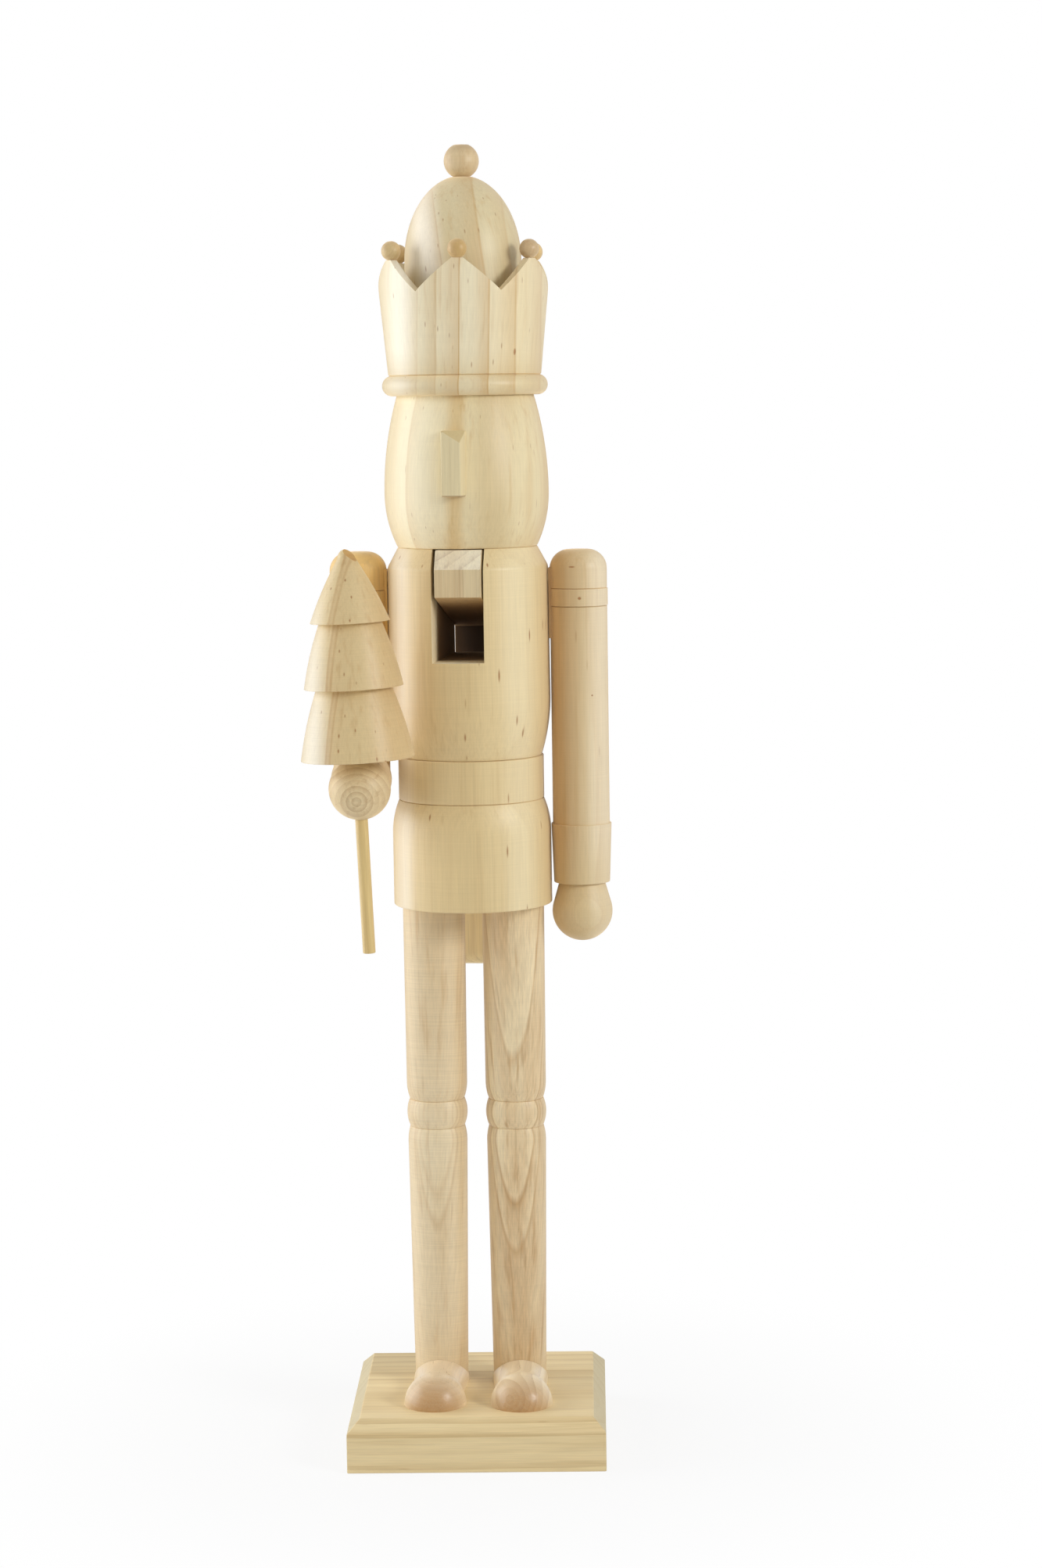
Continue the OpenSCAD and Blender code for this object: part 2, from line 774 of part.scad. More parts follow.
// The right arm is mitred at the elbow
module right_upper_arm() {
    color("#dcc09a") difference() {
        union() {
            translate([-arm_x, figure_back, arm_z]) rotate_extrude() upper_outline(elbow_at - arm_z - arm_d);
            arm_pad(-1);
        }
        at_mitre() translate([-arm_d, -2 * arm_d, -4 * arm_d]) cube([2 * arm_d, 4 * arm_d, 4 * arm_d]);
        at_mitre() dowel_hole(elbow_dowel_d, elbow_dowel_l);
        at_shoulder(-1) dowel_hole(shoulder_dowel_d, shoulder_dowel_l);
    }
}

module right_forearm() {
    color("#dcc09a") difference() {
        at_forearm() translate([0, -forearm_l, 0]) rotate([-90, 0, 0]) rotate_extrude() {
            hand_outline();
            translate([0, cuff_top]) square([arm_d / 2, forearm_l + arm_d - cuff_top]);
        }
        at_mitre() translate([-arm_d, -2 * arm_d, 0]) cube([2 * arm_d, 4 * arm_d, 4 * arm_d]);
        at_mitre() dowel_hole(elbow_dowel_d, elbow_dowel_l);
        at_staff() dowel(staff_hole_d, 2 * hand_d);
    }
}

module shoulder_dowels() {
    color("#e0cda0") for (side = [-1, 1]) at_shoulder(side) dowel(shoulder_dowel_d, shoulder_dowel_l);
}

module elbow_dowel() {
    color("#e0cda0") at_mitre() dowel(elbow_dowel_d, elbow_dowel_l);
}

// Three tiers from the lowest up, with a rounded tip
module tree_outline() {
    t2 = tier_3_h;
    t1 = tier_3_h + tier_2_h;
    tip = tree_l - tree_tip_d / 2;
    polygon(concat([[0, 0]],
        swell([tier_3_d / 2, 0], [tier_3_top_d / 2, t2], tier_swell),
        swell([tier_2_d / 2, t2], [tier_2_top_d / 2, t1], tier_swell),
        swell([tier_1_d / 2, t1], [tree_tip_d / 2, tip], tier_swell),
        [[0, tip]]));
    half_disc(tree_tip_d, tip);
}

module tree() {
    color("#e2cf9e") at_staff() difference() {
        translate([0, 0, tree_seat]) rotate_extrude() tree_outline();
        cylinder(d = staff_d + 2 * glue, h = tree_seat + staff_in + hole_end);
    }
}

module tree_staff() {
    below = hand_d / 2 + staff_below;
    color("#d8bd80") at_staff() translate([0, 0, -below])
        cylinder(d = staff_d, h = below + tree_seat + staff_in);
}

base();
left_foot();
right_foot();
left_leg();
right_leg();
torso();
jaw_lever();
pivot_pin();
head();
nose();
crown();
crown_dome();
finial_ball();
crown_bead(1);  // crown_bead_1
crown_bead(2);  // crown_bead_2
crown_bead(3);  // crown_bead_3
crown_bead(4);  // crown_bead_4
crown_bead(5);  // crown_bead_5
crown_bead(6);  // crown_bead_6
left_arm();
right_upper_arm();
right_forearm();
tree();
tree_staff();
leg_screws();
foot_dowels();
hip_dowels();
neck_dowels();
shoulder_dowels();
elbow_dowel();
crown_dowel();
finial_dowel();
bead_pins();
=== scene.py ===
import bpy
import bmesh
import math
from mathutils import Matrix, Vector


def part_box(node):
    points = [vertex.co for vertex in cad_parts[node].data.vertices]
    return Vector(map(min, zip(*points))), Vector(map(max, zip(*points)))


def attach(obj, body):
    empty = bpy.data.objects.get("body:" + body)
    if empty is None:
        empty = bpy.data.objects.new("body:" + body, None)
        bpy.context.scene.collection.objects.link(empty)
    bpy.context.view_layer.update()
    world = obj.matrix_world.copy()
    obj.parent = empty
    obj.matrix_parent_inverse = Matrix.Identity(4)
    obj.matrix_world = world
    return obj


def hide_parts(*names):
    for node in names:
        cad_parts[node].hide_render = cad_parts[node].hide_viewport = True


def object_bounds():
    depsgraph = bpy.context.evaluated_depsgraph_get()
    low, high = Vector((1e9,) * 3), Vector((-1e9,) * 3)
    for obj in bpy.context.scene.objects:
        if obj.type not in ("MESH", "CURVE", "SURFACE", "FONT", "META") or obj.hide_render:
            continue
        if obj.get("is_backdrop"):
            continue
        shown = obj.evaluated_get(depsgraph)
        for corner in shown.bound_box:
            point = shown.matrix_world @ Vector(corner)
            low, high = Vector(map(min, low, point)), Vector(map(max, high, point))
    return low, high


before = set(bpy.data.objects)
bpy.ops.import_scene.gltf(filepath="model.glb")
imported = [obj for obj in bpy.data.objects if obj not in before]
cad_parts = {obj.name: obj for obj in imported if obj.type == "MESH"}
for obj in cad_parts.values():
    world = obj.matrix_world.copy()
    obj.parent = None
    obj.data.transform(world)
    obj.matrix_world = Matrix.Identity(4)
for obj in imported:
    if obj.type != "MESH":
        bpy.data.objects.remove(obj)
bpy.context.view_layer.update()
mm = 0.001
tiny = 0.001                        # points closer than this are one, mm
rad = math.radians
figureY = 9.0                       # figure axis behind the middle of the base, mm
legX = 18.8                         # leg axis beside the figure axis, mm
sides = (("left", 1), ("right", -1))
toFigure = ("shift", 0, figureY, 0)
print("frame loaded")


def paint(code):                    # six hex digits as a linear colour
    parts = [int(code[i:i + 2], 16) / 255 for i in (0, 2, 4)]
    return tuple(c / 12.92 if c <= 0.04045 else ((c + 0.055) / 1.055) ** 2.4 for c in parts) + (1.0,)


class Wire:                         # one socket of a material, with its maths
    def __init__(self, tree, socket):
        self.tree, self.socket = tree, socket

    def node(self, kind, settings, sockets, out=0):
        made = self.tree.nodes.new("ShaderNode" + kind)
        for key, value in settings.items():
            setattr(made, key, value)
        for key, value in sockets.items():
            if isinstance(value, Wire):
                self.tree.links.new(value.socket, made.inputs[key])
            else:
                made.inputs[key].default_value = value
        return Wire(self.tree, made.outputs[out]) if made.outputs else None

    def maths(self, operation, *values):
        return self.node("Math", {"operation": operation}, dict(enumerate(values)))

    def vector(self, operation, *values, out=0):
        return self.node("VectorMath", {"operation": operation}, dict(enumerate(values)), out)

    def __add__(self, other):
        return self.maths("ADD", self, other)

    def __sub__(self, other):
        return self.maths("SUBTRACT", self, other)

    def __rsub__(self, other):
        return self.maths("SUBTRACT", other, self)

    def __mul__(self, other):
        return self.maths("MULTIPLY", self, other)

    def __pow__(self, other):
        return self.maths("POWER", self, other)

    def part(self, axis):           # x, y or z of a vector
        return self.node("SeparateXYZ", {}, {0: self}, axis)

    def scaled(self, by):           # a vector or colour times a number
        return self.node("VectorMath", {"operation": "SCALE"}, {0: self, "Scale": by})

    def fade(self, low, high):      # smooth 0 to 1 between low and high
        return self.node("MapRange", {"interpolation_type": "SMOOTHSTEP"},
                         {"Value": self, "From Min": low, "From Max": high})

    def ramp(self, stops):          # shades of grey at places from 0 to 1
        made = self.node("ValToRGB", {}, {0: self})
        marks = made.socket.node.color_ramp.elements
        marks.remove(marks[1])
        for i, (place, shade) in enumerate(stops):
            mark = marks.new(place) if i else marks[0]
            mark.position, mark.color = place, (shade, shade, shade, 1)
        return made

    def noise(self, size, seed, detail):            # size: lump size along x, y, z in mm
        spot = self.vector("MULTIPLY_ADD", self, [1 / s for s in size], (seed, seed * 1.7, seed * 0.6))
        return spot.node("TexNoise", {}, {"Vector": spot, "Scale": 1.0, "Detail": detail})

    def toward(self, colour, share):                # colour mix
        return self.node("Mix", {"data_type": "RGBA"}, {0: share, 6: self, 7: colour}, 2)


def blankTree(holder):              # emptied node tree of a material or a world
    holder.use_nodes = True
    holder.node_tree.nodes.clear()
    return holder.node_tree


def source(tree, kind, output):     # a socket of a new node without inputs
    return Wire(tree, tree.nodes.new("ShaderNode" + kind).outputs[output])


plainWood = {
    "pale": "dfcda3", "ring": "cfb27c", "streak": "d3b37c",   # early wood, late wood, broad tint
    "tilt": (0, 0, 0),              # turn of the grain against the upright, degrees
    "pith": (30, 160),              # heart of the tree beside the piece, mm
    "spacing": 7.0,                 # year rings, mm
    "rings": (),                    # or each ring listed one by one: mm from the middle, darkness
    "contrast": 0.6, "sharp": 3.0,  # strength of a ring line and how late it darkens
    "wander": 3.0, "rare": 1.0,     # waviness of the rings, mm, and how few of them are strong
    "tint": 0.35, "threads": 0.5,   # strength of the broad tint and of narrow streaks
    "bands": (),                    # upright tinted bands, in some looks painted light or painted shade: colour, mm from the middle, width, strength
    "knots": (),                    # small dark spots: x, y, z from the middle, width, height, mm
    "ends": None,                   # tint toward one end along the grain, end grain in some looks and painted light or shade in others: colour, mm along the grain from, to, strength
    "hollow": None,                 # painted shade inside a recess: colour, mm along y from, to, mm along z from, to
    "fibre": 0.10, "lathe": 0.06,   # fine fibre and turning lines
    "fleck": 0.35, "flecks": 0.3, "fleckSize": (0.5, 3.0),   # short dark dashes: strength, share, mm
    "rough": 0.44, "sheen": 1.0, "seed": 1.0,
}
grainSet = {                        # what all woods share
    "sway": ((70, 70, 240), 0, 2.0), "ripple": ((9, 9, 60), 3, 2.0),     # noises: mm, seed step, detail
    "patch": ((14, 14, 45), 2, 2.0), "fine": ((0.7, 0.7, 22), 5, 3.0), "broad": ((17, 17, 190), 8, 2.0),
    "narrow": ((2.4, 2.4, 75), 14, 3.0), "turned": ((40, 40, 0.45), 11, 3.0),
    "swayGain": 2.4, "rippleGain": 0.5,             # long and short waves of the rings, times wander
    "reach": 60.0,                  # rings listed one by one lie this close to the middle, mm
    "patchLeast": 0.55, "patchRange": 0.9, "yearLeast": 0.3, "yearRange": 0.7,   # strength of a ring
    "yearEnd": 0.94,                # share of a year after which its line ends
    "broadFade": (0.44, 0.68), "narrowFade": (0.5, 0.8),
    "bandSway": 0.6, "bandCore": 0.1,               # share of the sway in a band, and of its width at full
    "endLeast": 0.75, "endRange": 0.5,
    "cell": 10.0, "dot": (0.03, 0.13), "pick": 0.02,    # flecks: spacing in their sizes, edge, choice
    "knot": (0.5, 1.2), "knotShare": 0.8, "mark": "93540f", "paintedShadeShare": 0.97,
    "fineHigh": 0.5, "latheHigh": 6.0, "lateDeep": 0.35, "markDeep": 0.8, "bump": 0.22, "bumpM": 0.0004,
    "fineGloss": 0.16, "lateGloss": 0.06, "sheenRough": 0.5, "sheenTint": "f7e0ba",
}
ringSet = {"grown": 0.45, "edge": 0.5, "end": 0.45}     # tint before a ring line, its width and fall, mm


def ringLine(place, dark, run):     # one year: the tint grows over run mm and ends in a thin line
    k = ringSet
    edge, end = place - k["edge"], place + k["end"]
    return (place - run, 0.0), (edge, k["grown"] * dark), (place, dark), (end, 0.0)


def wood(name, centre, look):
    look = {**plainWood, **look}
    g = grainSet
    mat = bpy.data.materials.new(name)
    tree = blankTree(mat)
    spot = source(tree, "TexCoord", "Object")
    grain = spot.node("Mapping", {"vector_type": "TEXTURE"}, {
        "Vector": spot, "Location": [c * mm for c in centre],
        "Rotation": [rad(a) for a in look["tilt"]], "Scale": (mm, mm, mm)})

    def lumps(kind):
        size, step, detail = g[kind]
        return grain.noise(size, look["seed"] + step, detail)

    px, py = look["pith"]
    flat = grain.vector("MULTIPLY", grain, (1, 1, 0))
    reach = flat.vector("DISTANCE", flat, (px, py, 0), out=1)
    sway = (lumps("sway") - 0.5) * (g["swayGain"] * look["wander"])
    sway = sway + (lumps("ripple") - 0.5) * (g["rippleGain"] * look["wander"])
    reach = reach + sway - math.hypot(px, py)
    if look["rings"]:
        span = 2 * g["reach"]
        stops = [((place + g["reach"]) / span, dark) for place, dark in look["rings"]]
        late = ((reach + g["reach"]) * (1 / span)).ramp(stops)
        late = late * (lumps("patch") * g["patchRange"] + g["patchLeast"])
    else:
        years = reach * (1 / look["spacing"])
        growth, year = years.maths("FRACT", years), years.maths("FLOOR", years)
        chance = year.node("TexWhiteNoise", {"noise_dimensions": "1D"}, {"W": year + look["seed"]})
        strength = chance ** look["rare"] * g["yearRange"] + g["yearLeast"]
        late = (growth ** look["sharp"]) * (1 - growth.fade(g["yearEnd"], 1.0)) * strength
    fine = lumps("fine")
    lines = lumps("turned")
    colour = grain.toward(paint(look["pale"]), 1.0)
    colour = colour.toward(paint(look["streak"]), lumps("broad").fade(*g["broadFade"]) * look["tint"])
    colour = colour.toward(paint(look["ring"]), lumps("narrow").fade(*g["narrowFade"]) * look["threads"])
    across = grain.part(0) + sway * g["bandSway"]
    for tone, place, width, share in look["bands"]:
        near = across.maths("ABSOLUTE", across - place)
        colour = colour.toward(paint(tone), (1 - near.fade(g["bandCore"] * width, width)) * share)
    if look["ends"]:
        tone, start, full, share = look["ends"]
        uneven = fine * g["endRange"] + g["endLeast"]
        colour = colour.toward(paint(tone), grain.part(2).fade(start, full) * uneven * share)
    colour = colour.toward(paint(look["ring"]), late * look["contrast"])
    wide, tall = (1 / (g["cell"] * size) for size in look["fleckSize"])
    cell = grain.vector("MULTIPLY", grain, (wide, wide, tall))
    dots = cell.node("TexVoronoi", {}, {"Vector": cell, "Scale": 1.0})
    pick = Wire(tree, dots.socket.node.outputs["Color"])
    pick = pick.node("SeparateColor", {}, {0: pick})
    chosen = pick.fade(1.0 - g["pick"] - look["flecks"], 1.0 - look["flecks"])
    mark = (1 - dots.fade(*g["dot"])) * chosen * look["fleck"]
    for x, y, z, width, height in look["knots"]:
        near = grain.vector("SUBTRACT", grain, (x, y, z))
        near = near.vector("MULTIPLY", near, (1 / width, 1 / width, 1 / height))
        knot = 1 - near.vector("LENGTH", near, out=1).fade(*g["knot"])
        mark = mark.maths("MAXIMUM", mark, knot * g["knotShare"])
    colour = colour.toward(paint(g["mark"]), mark)
    # painted shade: the colour darkens deeper inside a recess
    if look["hollow"]:
        tone, shallow, deep, low, high = look["hollow"]
        inner = grain.part(1).fade(shallow, deep) * grain.part(2).fade(low, high)
        colour = colour.toward(paint(tone), inner * g["paintedShadeShare"])
    shade = (fine - 0.5) * (2 * look["fibre"]) + (lines - 0.5) * (2 * look["lathe"]) + 1.0
    colour = colour.scaled(shade)
    height = fine * g["fineHigh"] + lines * (look["lathe"] * g["latheHigh"])
    height = height - late * g["lateDeep"] - mark * g["markDeep"]
    bump = height.node("Bump", {}, {"Strength": g["bump"], "Distance": g["bumpM"], "Height": height})
    gloss = (fine - 0.5) * g["fineGloss"] - late * g["lateGloss"] + look["rough"]
    skin = bump.node("BsdfPrincipled", {}, {
        "Base Color": colour, "Roughness": gloss, "Normal": bump, "Sheen Weight": look["sheen"],
        "Sheen Roughness": g["sheenRough"], "Sheen Tint": paint(g["sheenTint"])})
    skin.node("OutputMaterial", {}, {"Surface": skin})
    return mat


def arcOn(bm, tip, centre, axis, degrees, parts):   # draws an arc from a vertex and gives its far end
    made = bmesh.ops.spin(bm, geom=[tip], cent=centre, axis=axis, angle=rad(degrees), steps=parts)
    return [v for v in made["geom_last"] if isinstance(v, bmesh.types.BMVert)][0]


def lineOn(bm, tip, *points):       # draws straight edges from a vertex and gives their far end
    for point in points:
        last, tip = tip, bm.verts.new(point)
        bm.edges.new((last, tip))
    return tip


def turning(path, steps):           # half outline, mm: (r, z), (r, z, ease) or an arc (r, z, degrees, parts)
    bm = bmesh.new()
    tip = bm.verts.new((path[0][0], 0, path[0][1]))
    for r, z, *more in path[1:]:
        if len(more) == 2:
            tip = arcOn(bm, tip, (r, 0, z), (0, -1, 0), *more)
        else:
            tip = lineOn(bm, tip, (r, 0, z))
    bmesh.ops.spin(bm, geom=bm.verts[:] + bm.edges[:], cent=(0, 0, 0), axis=(0, 0, 1),
                   angle=math.tau, steps=steps, use_merge=True)
    bmesh.ops.remove_doubles(bm, verts=bm.verts, dist=tiny / 2)
    for r, z, ease in [corner for corner in path if len(corner) == 3]:
        ring = [e for e in bm.edges if all(
            abs(v.co.z - z) < tiny and abs(math.hypot(v.co.x, v.co.y) - r) < tiny for v in e.verts)]
        soften(bm, ring, ease, 3)
    return bm


def swell(drop, rise):              # radius and sweep of an arc that draws in by drop over rise
    r = (drop * drop + rise * rise) / (2 * drop)
    return r, math.degrees(math.asin(rise / r))


def bore(d, low, high, steps=48):   # round cutter on the Z axis
    return turning([(0, low), (d / 2, low), (d / 2, high), (0, high)], steps)


def block(w, d, h):                 # box around the origin
    bm = bmesh.new()
    bmesh.ops.create_cube(bm, size=1)
    bmesh.ops.scale(bm, verts=bm.verts, vec=(w, d, h))
    return bm


def creases(bm, degrees):           # edges that fold by more than this
    return [e for e in bm.edges if len(e.link_faces) == 2 and e.calc_face_angle() > rad(degrees)]


def soften(bm, edges, ease, segments=2):
    bmesh.ops.bevel(bm, geom=edges, offset=ease, offset_type="OFFSET", segments=segments, profile=0.5,
                    affect="EDGES", clamp_overlap=True, material=-1)


def extruded(bm, faces, way):       # makes a flat face thick
    made = bmesh.ops.extrude_face_region(bm, geom=faces, use_keep_orig=True)
    bmesh.ops.translate(bm, verts=[v for v in made["geom"] if isinstance(v, bmesh.types.BMVert)], vec=way)


def sliced(bm, point, normal, keepBelow):           # cuts along a plane, keeps one side and closes it
    bmesh.ops.bisect_plane(bm, geom=bm.verts[:] + bm.edges[:] + bm.faces[:], plane_co=point, plane_no=normal,
                           clear_outer=keepBelow, clear_inner=not keepBelow)
    bmesh.ops.holes_fill(bm, edges=[e for e in bm.edges if e.is_boundary])
    return bm


def moved(bm, *steps):              # steps: ("turn", degrees, axis) or ("shift", x, y, z)
    for step in steps:
        if step[0] == "turn":
            turn = Matrix.Rotation(rad(step[1]), 3, step[2])
            bmesh.ops.rotate(bm, verts=bm.verts, cent=(0, 0, 0), matrix=turn)
        else:
            bmesh.ops.translate(bm, verts=bm.verts, vec=step[1:])
    return bm


def placed(name, data):             # new object in the scene
    made = bpy.data.objects.new(name, data)
    bpy.context.scene.collection.objects.link(made)
    return made


def solid(name, bm):                # mesh object in metres, its place in its mesh
    bmesh.ops.recalc_face_normals(bm, faces=bm.faces)
    bmesh.ops.scale(bm, verts=bm.verts, vec=(mm, mm, mm))
    mesh = bpy.data.meshes.new(name)
    bm.to_mesh(mesh)
    bm.free()
    return placed(name, mesh)


def boolean(piece, tool, operation):                # joins a tool to a piece or takes it out, for good
    cut = piece.modifiers.new("cut", "BOOLEAN")
    cut.operation, cut.solver, cut.object = operation, "EXACT", tool
    graph = bpy.context.evaluated_depsgraph_get()
    mesh = bpy.data.meshes.new_from_object(piece.evaluated_get(graph))
    piece.modifiers.remove(cut)
    old, piece.data = piece.data, mesh
    bpy.data.meshes.remove(old)
    mesh.name = piece.name
    bpy.data.objects.remove(tool)


def cutAway(piece, bm):
    boolean(piece, solid("cutter", bm), "DIFFERENCE")


meshSet = {"weld": 0.004, "fold": 25.0, "sharp": 38.0}  # mm; degrees for easing and for smooth shading


def softenWhere(piece, ease, test):                 # eases the folds whose two ends pass the test, mm
    bm = bmesh.new()
    bm.from_mesh(piece.data)
    bmesh.ops.scale(bm, verts=bm.verts, vec=(1 / mm,) * 3)
    soften(bm, [e for e in creases(bm, meshSet["fold"]) if test(*[v.co for v in e.verts])], ease)
    bmesh.ops.scale(bm, verts=bm.verts, vec=(mm,) * 3)
    bm.to_mesh(piece.data)
    bm.free()


def cleaned(piece):                 # merges what the cuts left closer than a few microns
    bm = bmesh.new()
    bm.from_mesh(piece.data)
    bmesh.ops.remove_doubles(bm, verts=bm.verts, dist=meshSet["weld"] * mm)
    bmesh.ops.recalc_face_normals(bm, faces=bm.faces)
    bm.to_mesh(piece.data)
    bm.free()


def finished(piece, body, slot, mat, *nodes):
    cleaned(piece)
    mesh = piece.data
    mesh.polygons.foreach_set("use_smooth", [True] * len(mesh.polygons))
    mesh.set_sharp_from_angle(angle=rad(meshSet["sharp"]))
    even = piece.modifiers.new("even", "WEIGHTED_NORMAL")
    even.keep_sharp = True
    mesh.materials.clear()
    mesh.materials.append(mat)
    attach(piece, body)
    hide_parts(*nodes)
    print("made", piece.name, len(mesh.polygons), "faces")


# base block
baseSet = {"w": 120.0, "d": 122.0, "h": 24.5, "slope": 6.0, "ease": 0.5, "turn": 2.0, "grainZ": 12.0,
           "head": 4.05, "headZ": 0.6, "shank": 2.05, "shankZ": 3.2, "past": 1.0, "steps": 40,   # screws
           "endFace": 0.6}          # faces that look sideways by more than this are end grain
baseLook = {"pale": "edd8a8", "ring": "bd9c64", "streak": "cfb27a", "tilt": (0, 90, 2), "pith": (-70, -25),
            "spacing": 6.5, "sharp": 2.6, "threads": 0.35, "fibre": 0.14, "lathe": 0.0, "fleck": 0.15,
            "rough": 0.6, "sheen": 0.1, "seed": 4.0}
baseEndLook = {**baseLook, "pale": "d5c8a6", "ring": "c7b58a", "streak": "d9cba4", "fibre": 0.1,
               "fleck": 0.35, "flecks": 0.9, "fleckSize": (0.12, 0.3), "rough": 0.75}
k = baseSet
wall = k["h"] - k["slope"]
bm = moved(block(k["w"], k["d"], wall), ("shift", 0, 0, wall / 2))
top = max(bm.faces, key=lambda f: f.calc_center_median().z)
bmesh.ops.inset_region(bm, faces=[top], thickness=k["slope"], use_even_offset=True)
bmesh.ops.translate(bm, verts=top.verts, vec=(0, 0, k["slope"]))
soften(bm, bm.edges[:], k["ease"])
base = solid("baseBlock", moved(bm, ("turn", k["turn"], "Z")))
low, high = -k["past"], k["h"] + k["past"]
path = [(0, low), (k["head"], low), (k["head"], k["headZ"]), (k["shank"], k["shankZ"]), (k["shank"], high),
        (0, high)]
for side in (-1, 1):
    cutAway(base, moved(turning(path, k["steps"]), ("shift", side * legX, figureY, 0)))
finished(base, "figure", "base_wood", wood("base pine", (0, 0, k["grainZ"]), baseLook), "base")
base.data.materials.append(wood("base end grain", (0, 0, k["grainZ"]), baseEndLook))
for face in base.data.polygons:
    face.material_index = 1 if abs(face.normal.x) > k["endFace"] else 0

# legs
legSet = {"ankle": 12.6, "calf": 14.1, "groove": 13.05, "knee": 14.35, "top": 14.7, "low": 24.5,
          "high": 256.0, "kneeZ": 155.6, "kneeH": 12.8, "slope": 4.2, "ease": 3.0, "rim": 0.4,
          "kerf": 0.35, "kerfAt": 0.1, "kerfW": 0.4,    # lines beside the knee: depth, place, width
          "arc": 16, "steps": 112, "grainZ": 150.0}
legLooks = {
    "left": {"pale": "f3e2ba", "ring": "b58b56", "streak": "cda876", "tilt": (-5.7, 0, 0), "pith": (4, 190),
             "rings": ((-20, 0.55), (2.0, 0.45), (7.2, 0.6), (7.6, 1.0), (7.9, 0.2), (9.8, 0.4),
                       (10.3, 0.95), (10.6, 0.0), (13.5, 0.1), (17.4, 0.4), (17.9, 0.85), (18.2, 0.22),
                       (23, 0.45)),
             "knots": ((-2.6, -13.6, 34.0, 0.5, 13.0), (-4.4, -13.4, 26.0, 0.35, 9.0)), "contrast": 0.75,
             "wander": 1.4, "threads": 0.7, "tint": 0.5, "fibre": 0.26, "fleck": 0.1, "seed": 7.0},
    "right": {"pale": "eddcb8", "ring": "c4a06f", "streak": "d2b684", "tilt": (-4.6, 1.0, 0),
              "pith": (-6, 210), "ends": ("c7a26c", -15.0, 15.0, 0.2),
              "rings": ((-20, 0.5), (4.0, 0.3), (8.9, 0.4), (9.35, 0.9), (9.6, 0.1), (10.4, 0.2),
                        (10.8, 0.6), (11.1, 0.05), (22, 0.15)),
              "contrast": 0.5, "wander": 1.0, "tint": 0.3, "fibre": 0.14,
              "fleck": 0.1, "lathe": 0.14, "seed": 9.0}}
k = legSet
low, high = k["kneeZ"] - k["kneeH"] / 2, k["kneeZ"] + k["kneeH"] / 2
kneeR, kneeSweep = swell(k["knee"] - k["groove"], k["kneeH"] / 2)
cutR = k["groove"] - k["kerf"]
path = [(0, k["low"]), (k["ankle"], k["low"], k["rim"]), (k["calf"], low - k["slope"], k["ease"]),
        (k["groove"], low - k["kerfW"]), (cutR, low - k["kerfAt"]), (k["groove"], low),
        (k["knee"] - kneeR, k["kneeZ"], 2 * kneeSweep, k["arc"]),
        (cutR, high + k["kerfAt"]), (k["groove"], high + k["kerfW"]),
        (k["knee"], high + k["slope"], k["ease"]),
        (k["top"], k["high"], k["rim"]), (0, k["high"])]
for name, side in sides:
    leg = solid(name + "Leg", moved(turning(path, k["steps"]), ("shift", side * legX, figureY, 0)))
    mat = wood(name + " leg wood", (side * legX, figureY, k["grainZ"]), legLooks[name])
    finished(leg, "figure", "limb_wood", mat, name + "_leg")

# feet
footSet = {"toe": 14.6, "neck": 12.0, "hollow": 50.0, "back": 13.3, "reach": 56.5, "floor": 24.5, "rim": 0.3,
           "gap": 1.0, "fit": 0.3, "cutZ": (10.0, 90.0), "turn": {"left": 4.0, "right": 0.0},
           "toeArc": 26, "neckArc": 10, "steps": 96, "grainAt": (-33.0, 26.0), "seed": 12.0}
footLook = {"ring": "a0703c", "streak": "dcc096", "spacing": 2.6, "sharp": 1.4, "wander": 1.5, "tint": 0.25,
            "threads": 0.12, "lathe": 0.10, "fleck": 0.1, "rough": 0.34, "tilt": (90, 0, 0), "sheen": 0.1,
            "ends": ("ba8f5b", 0.0, 15.0, 0.9)}
footLooks = {"left": {"pale": "f1deba", "pith": (-1.7, 4.0), "contrast": 0.36},
             "right": {"pale": "eedab8", "pith": (6, 70), "contrast": 0.12}}
k = footSet
toeY = k["toe"] - k["reach"]
backZ = -toeY - k["gap"]
neckR = k["neck"] + k["hollow"]
neckZ = math.sqrt((k["toe"] + k["hollow"]) ** 2 - neckR ** 2)
lean = math.degrees(math.atan2(neckZ, neckR))
path = [(0, -k["toe"]), (0, 0, 90 + lean, k["toeArc"]), (neckR, neckZ, -lean, k["neckArc"]),
        (k["back"], backZ, k["rim"]), (0, backZ)]
for name, side in sides:
    bm = moved(turning(path, k["steps"]), ("turn", -90, "X"), ("shift", 0, toeY, 0))
    sliced(bm, (0, 0, 0), (0, 0, 1), False)
    moved(bm, ("turn", side * k["turn"][name], "Z"), ("shift", side * legX, figureY, k["floor"]))
    foot = solid(name + "Foot", bm)
    ankle = bore(2 * (legSet["ankle"] + k["fit"]), *k["cutZ"], k["steps"])
    cutAway(foot, moved(ankle, ("shift", side * legX, figureY, 0)))
    look = {**footLook, **footLooks[name], "seed": k["seed"] + side}
    mat = wood(name + " foot wood", (side * legX, *k["grainAt"]), look)
    finished(foot, "figure", "limb_wood", mat, name + "_foot")

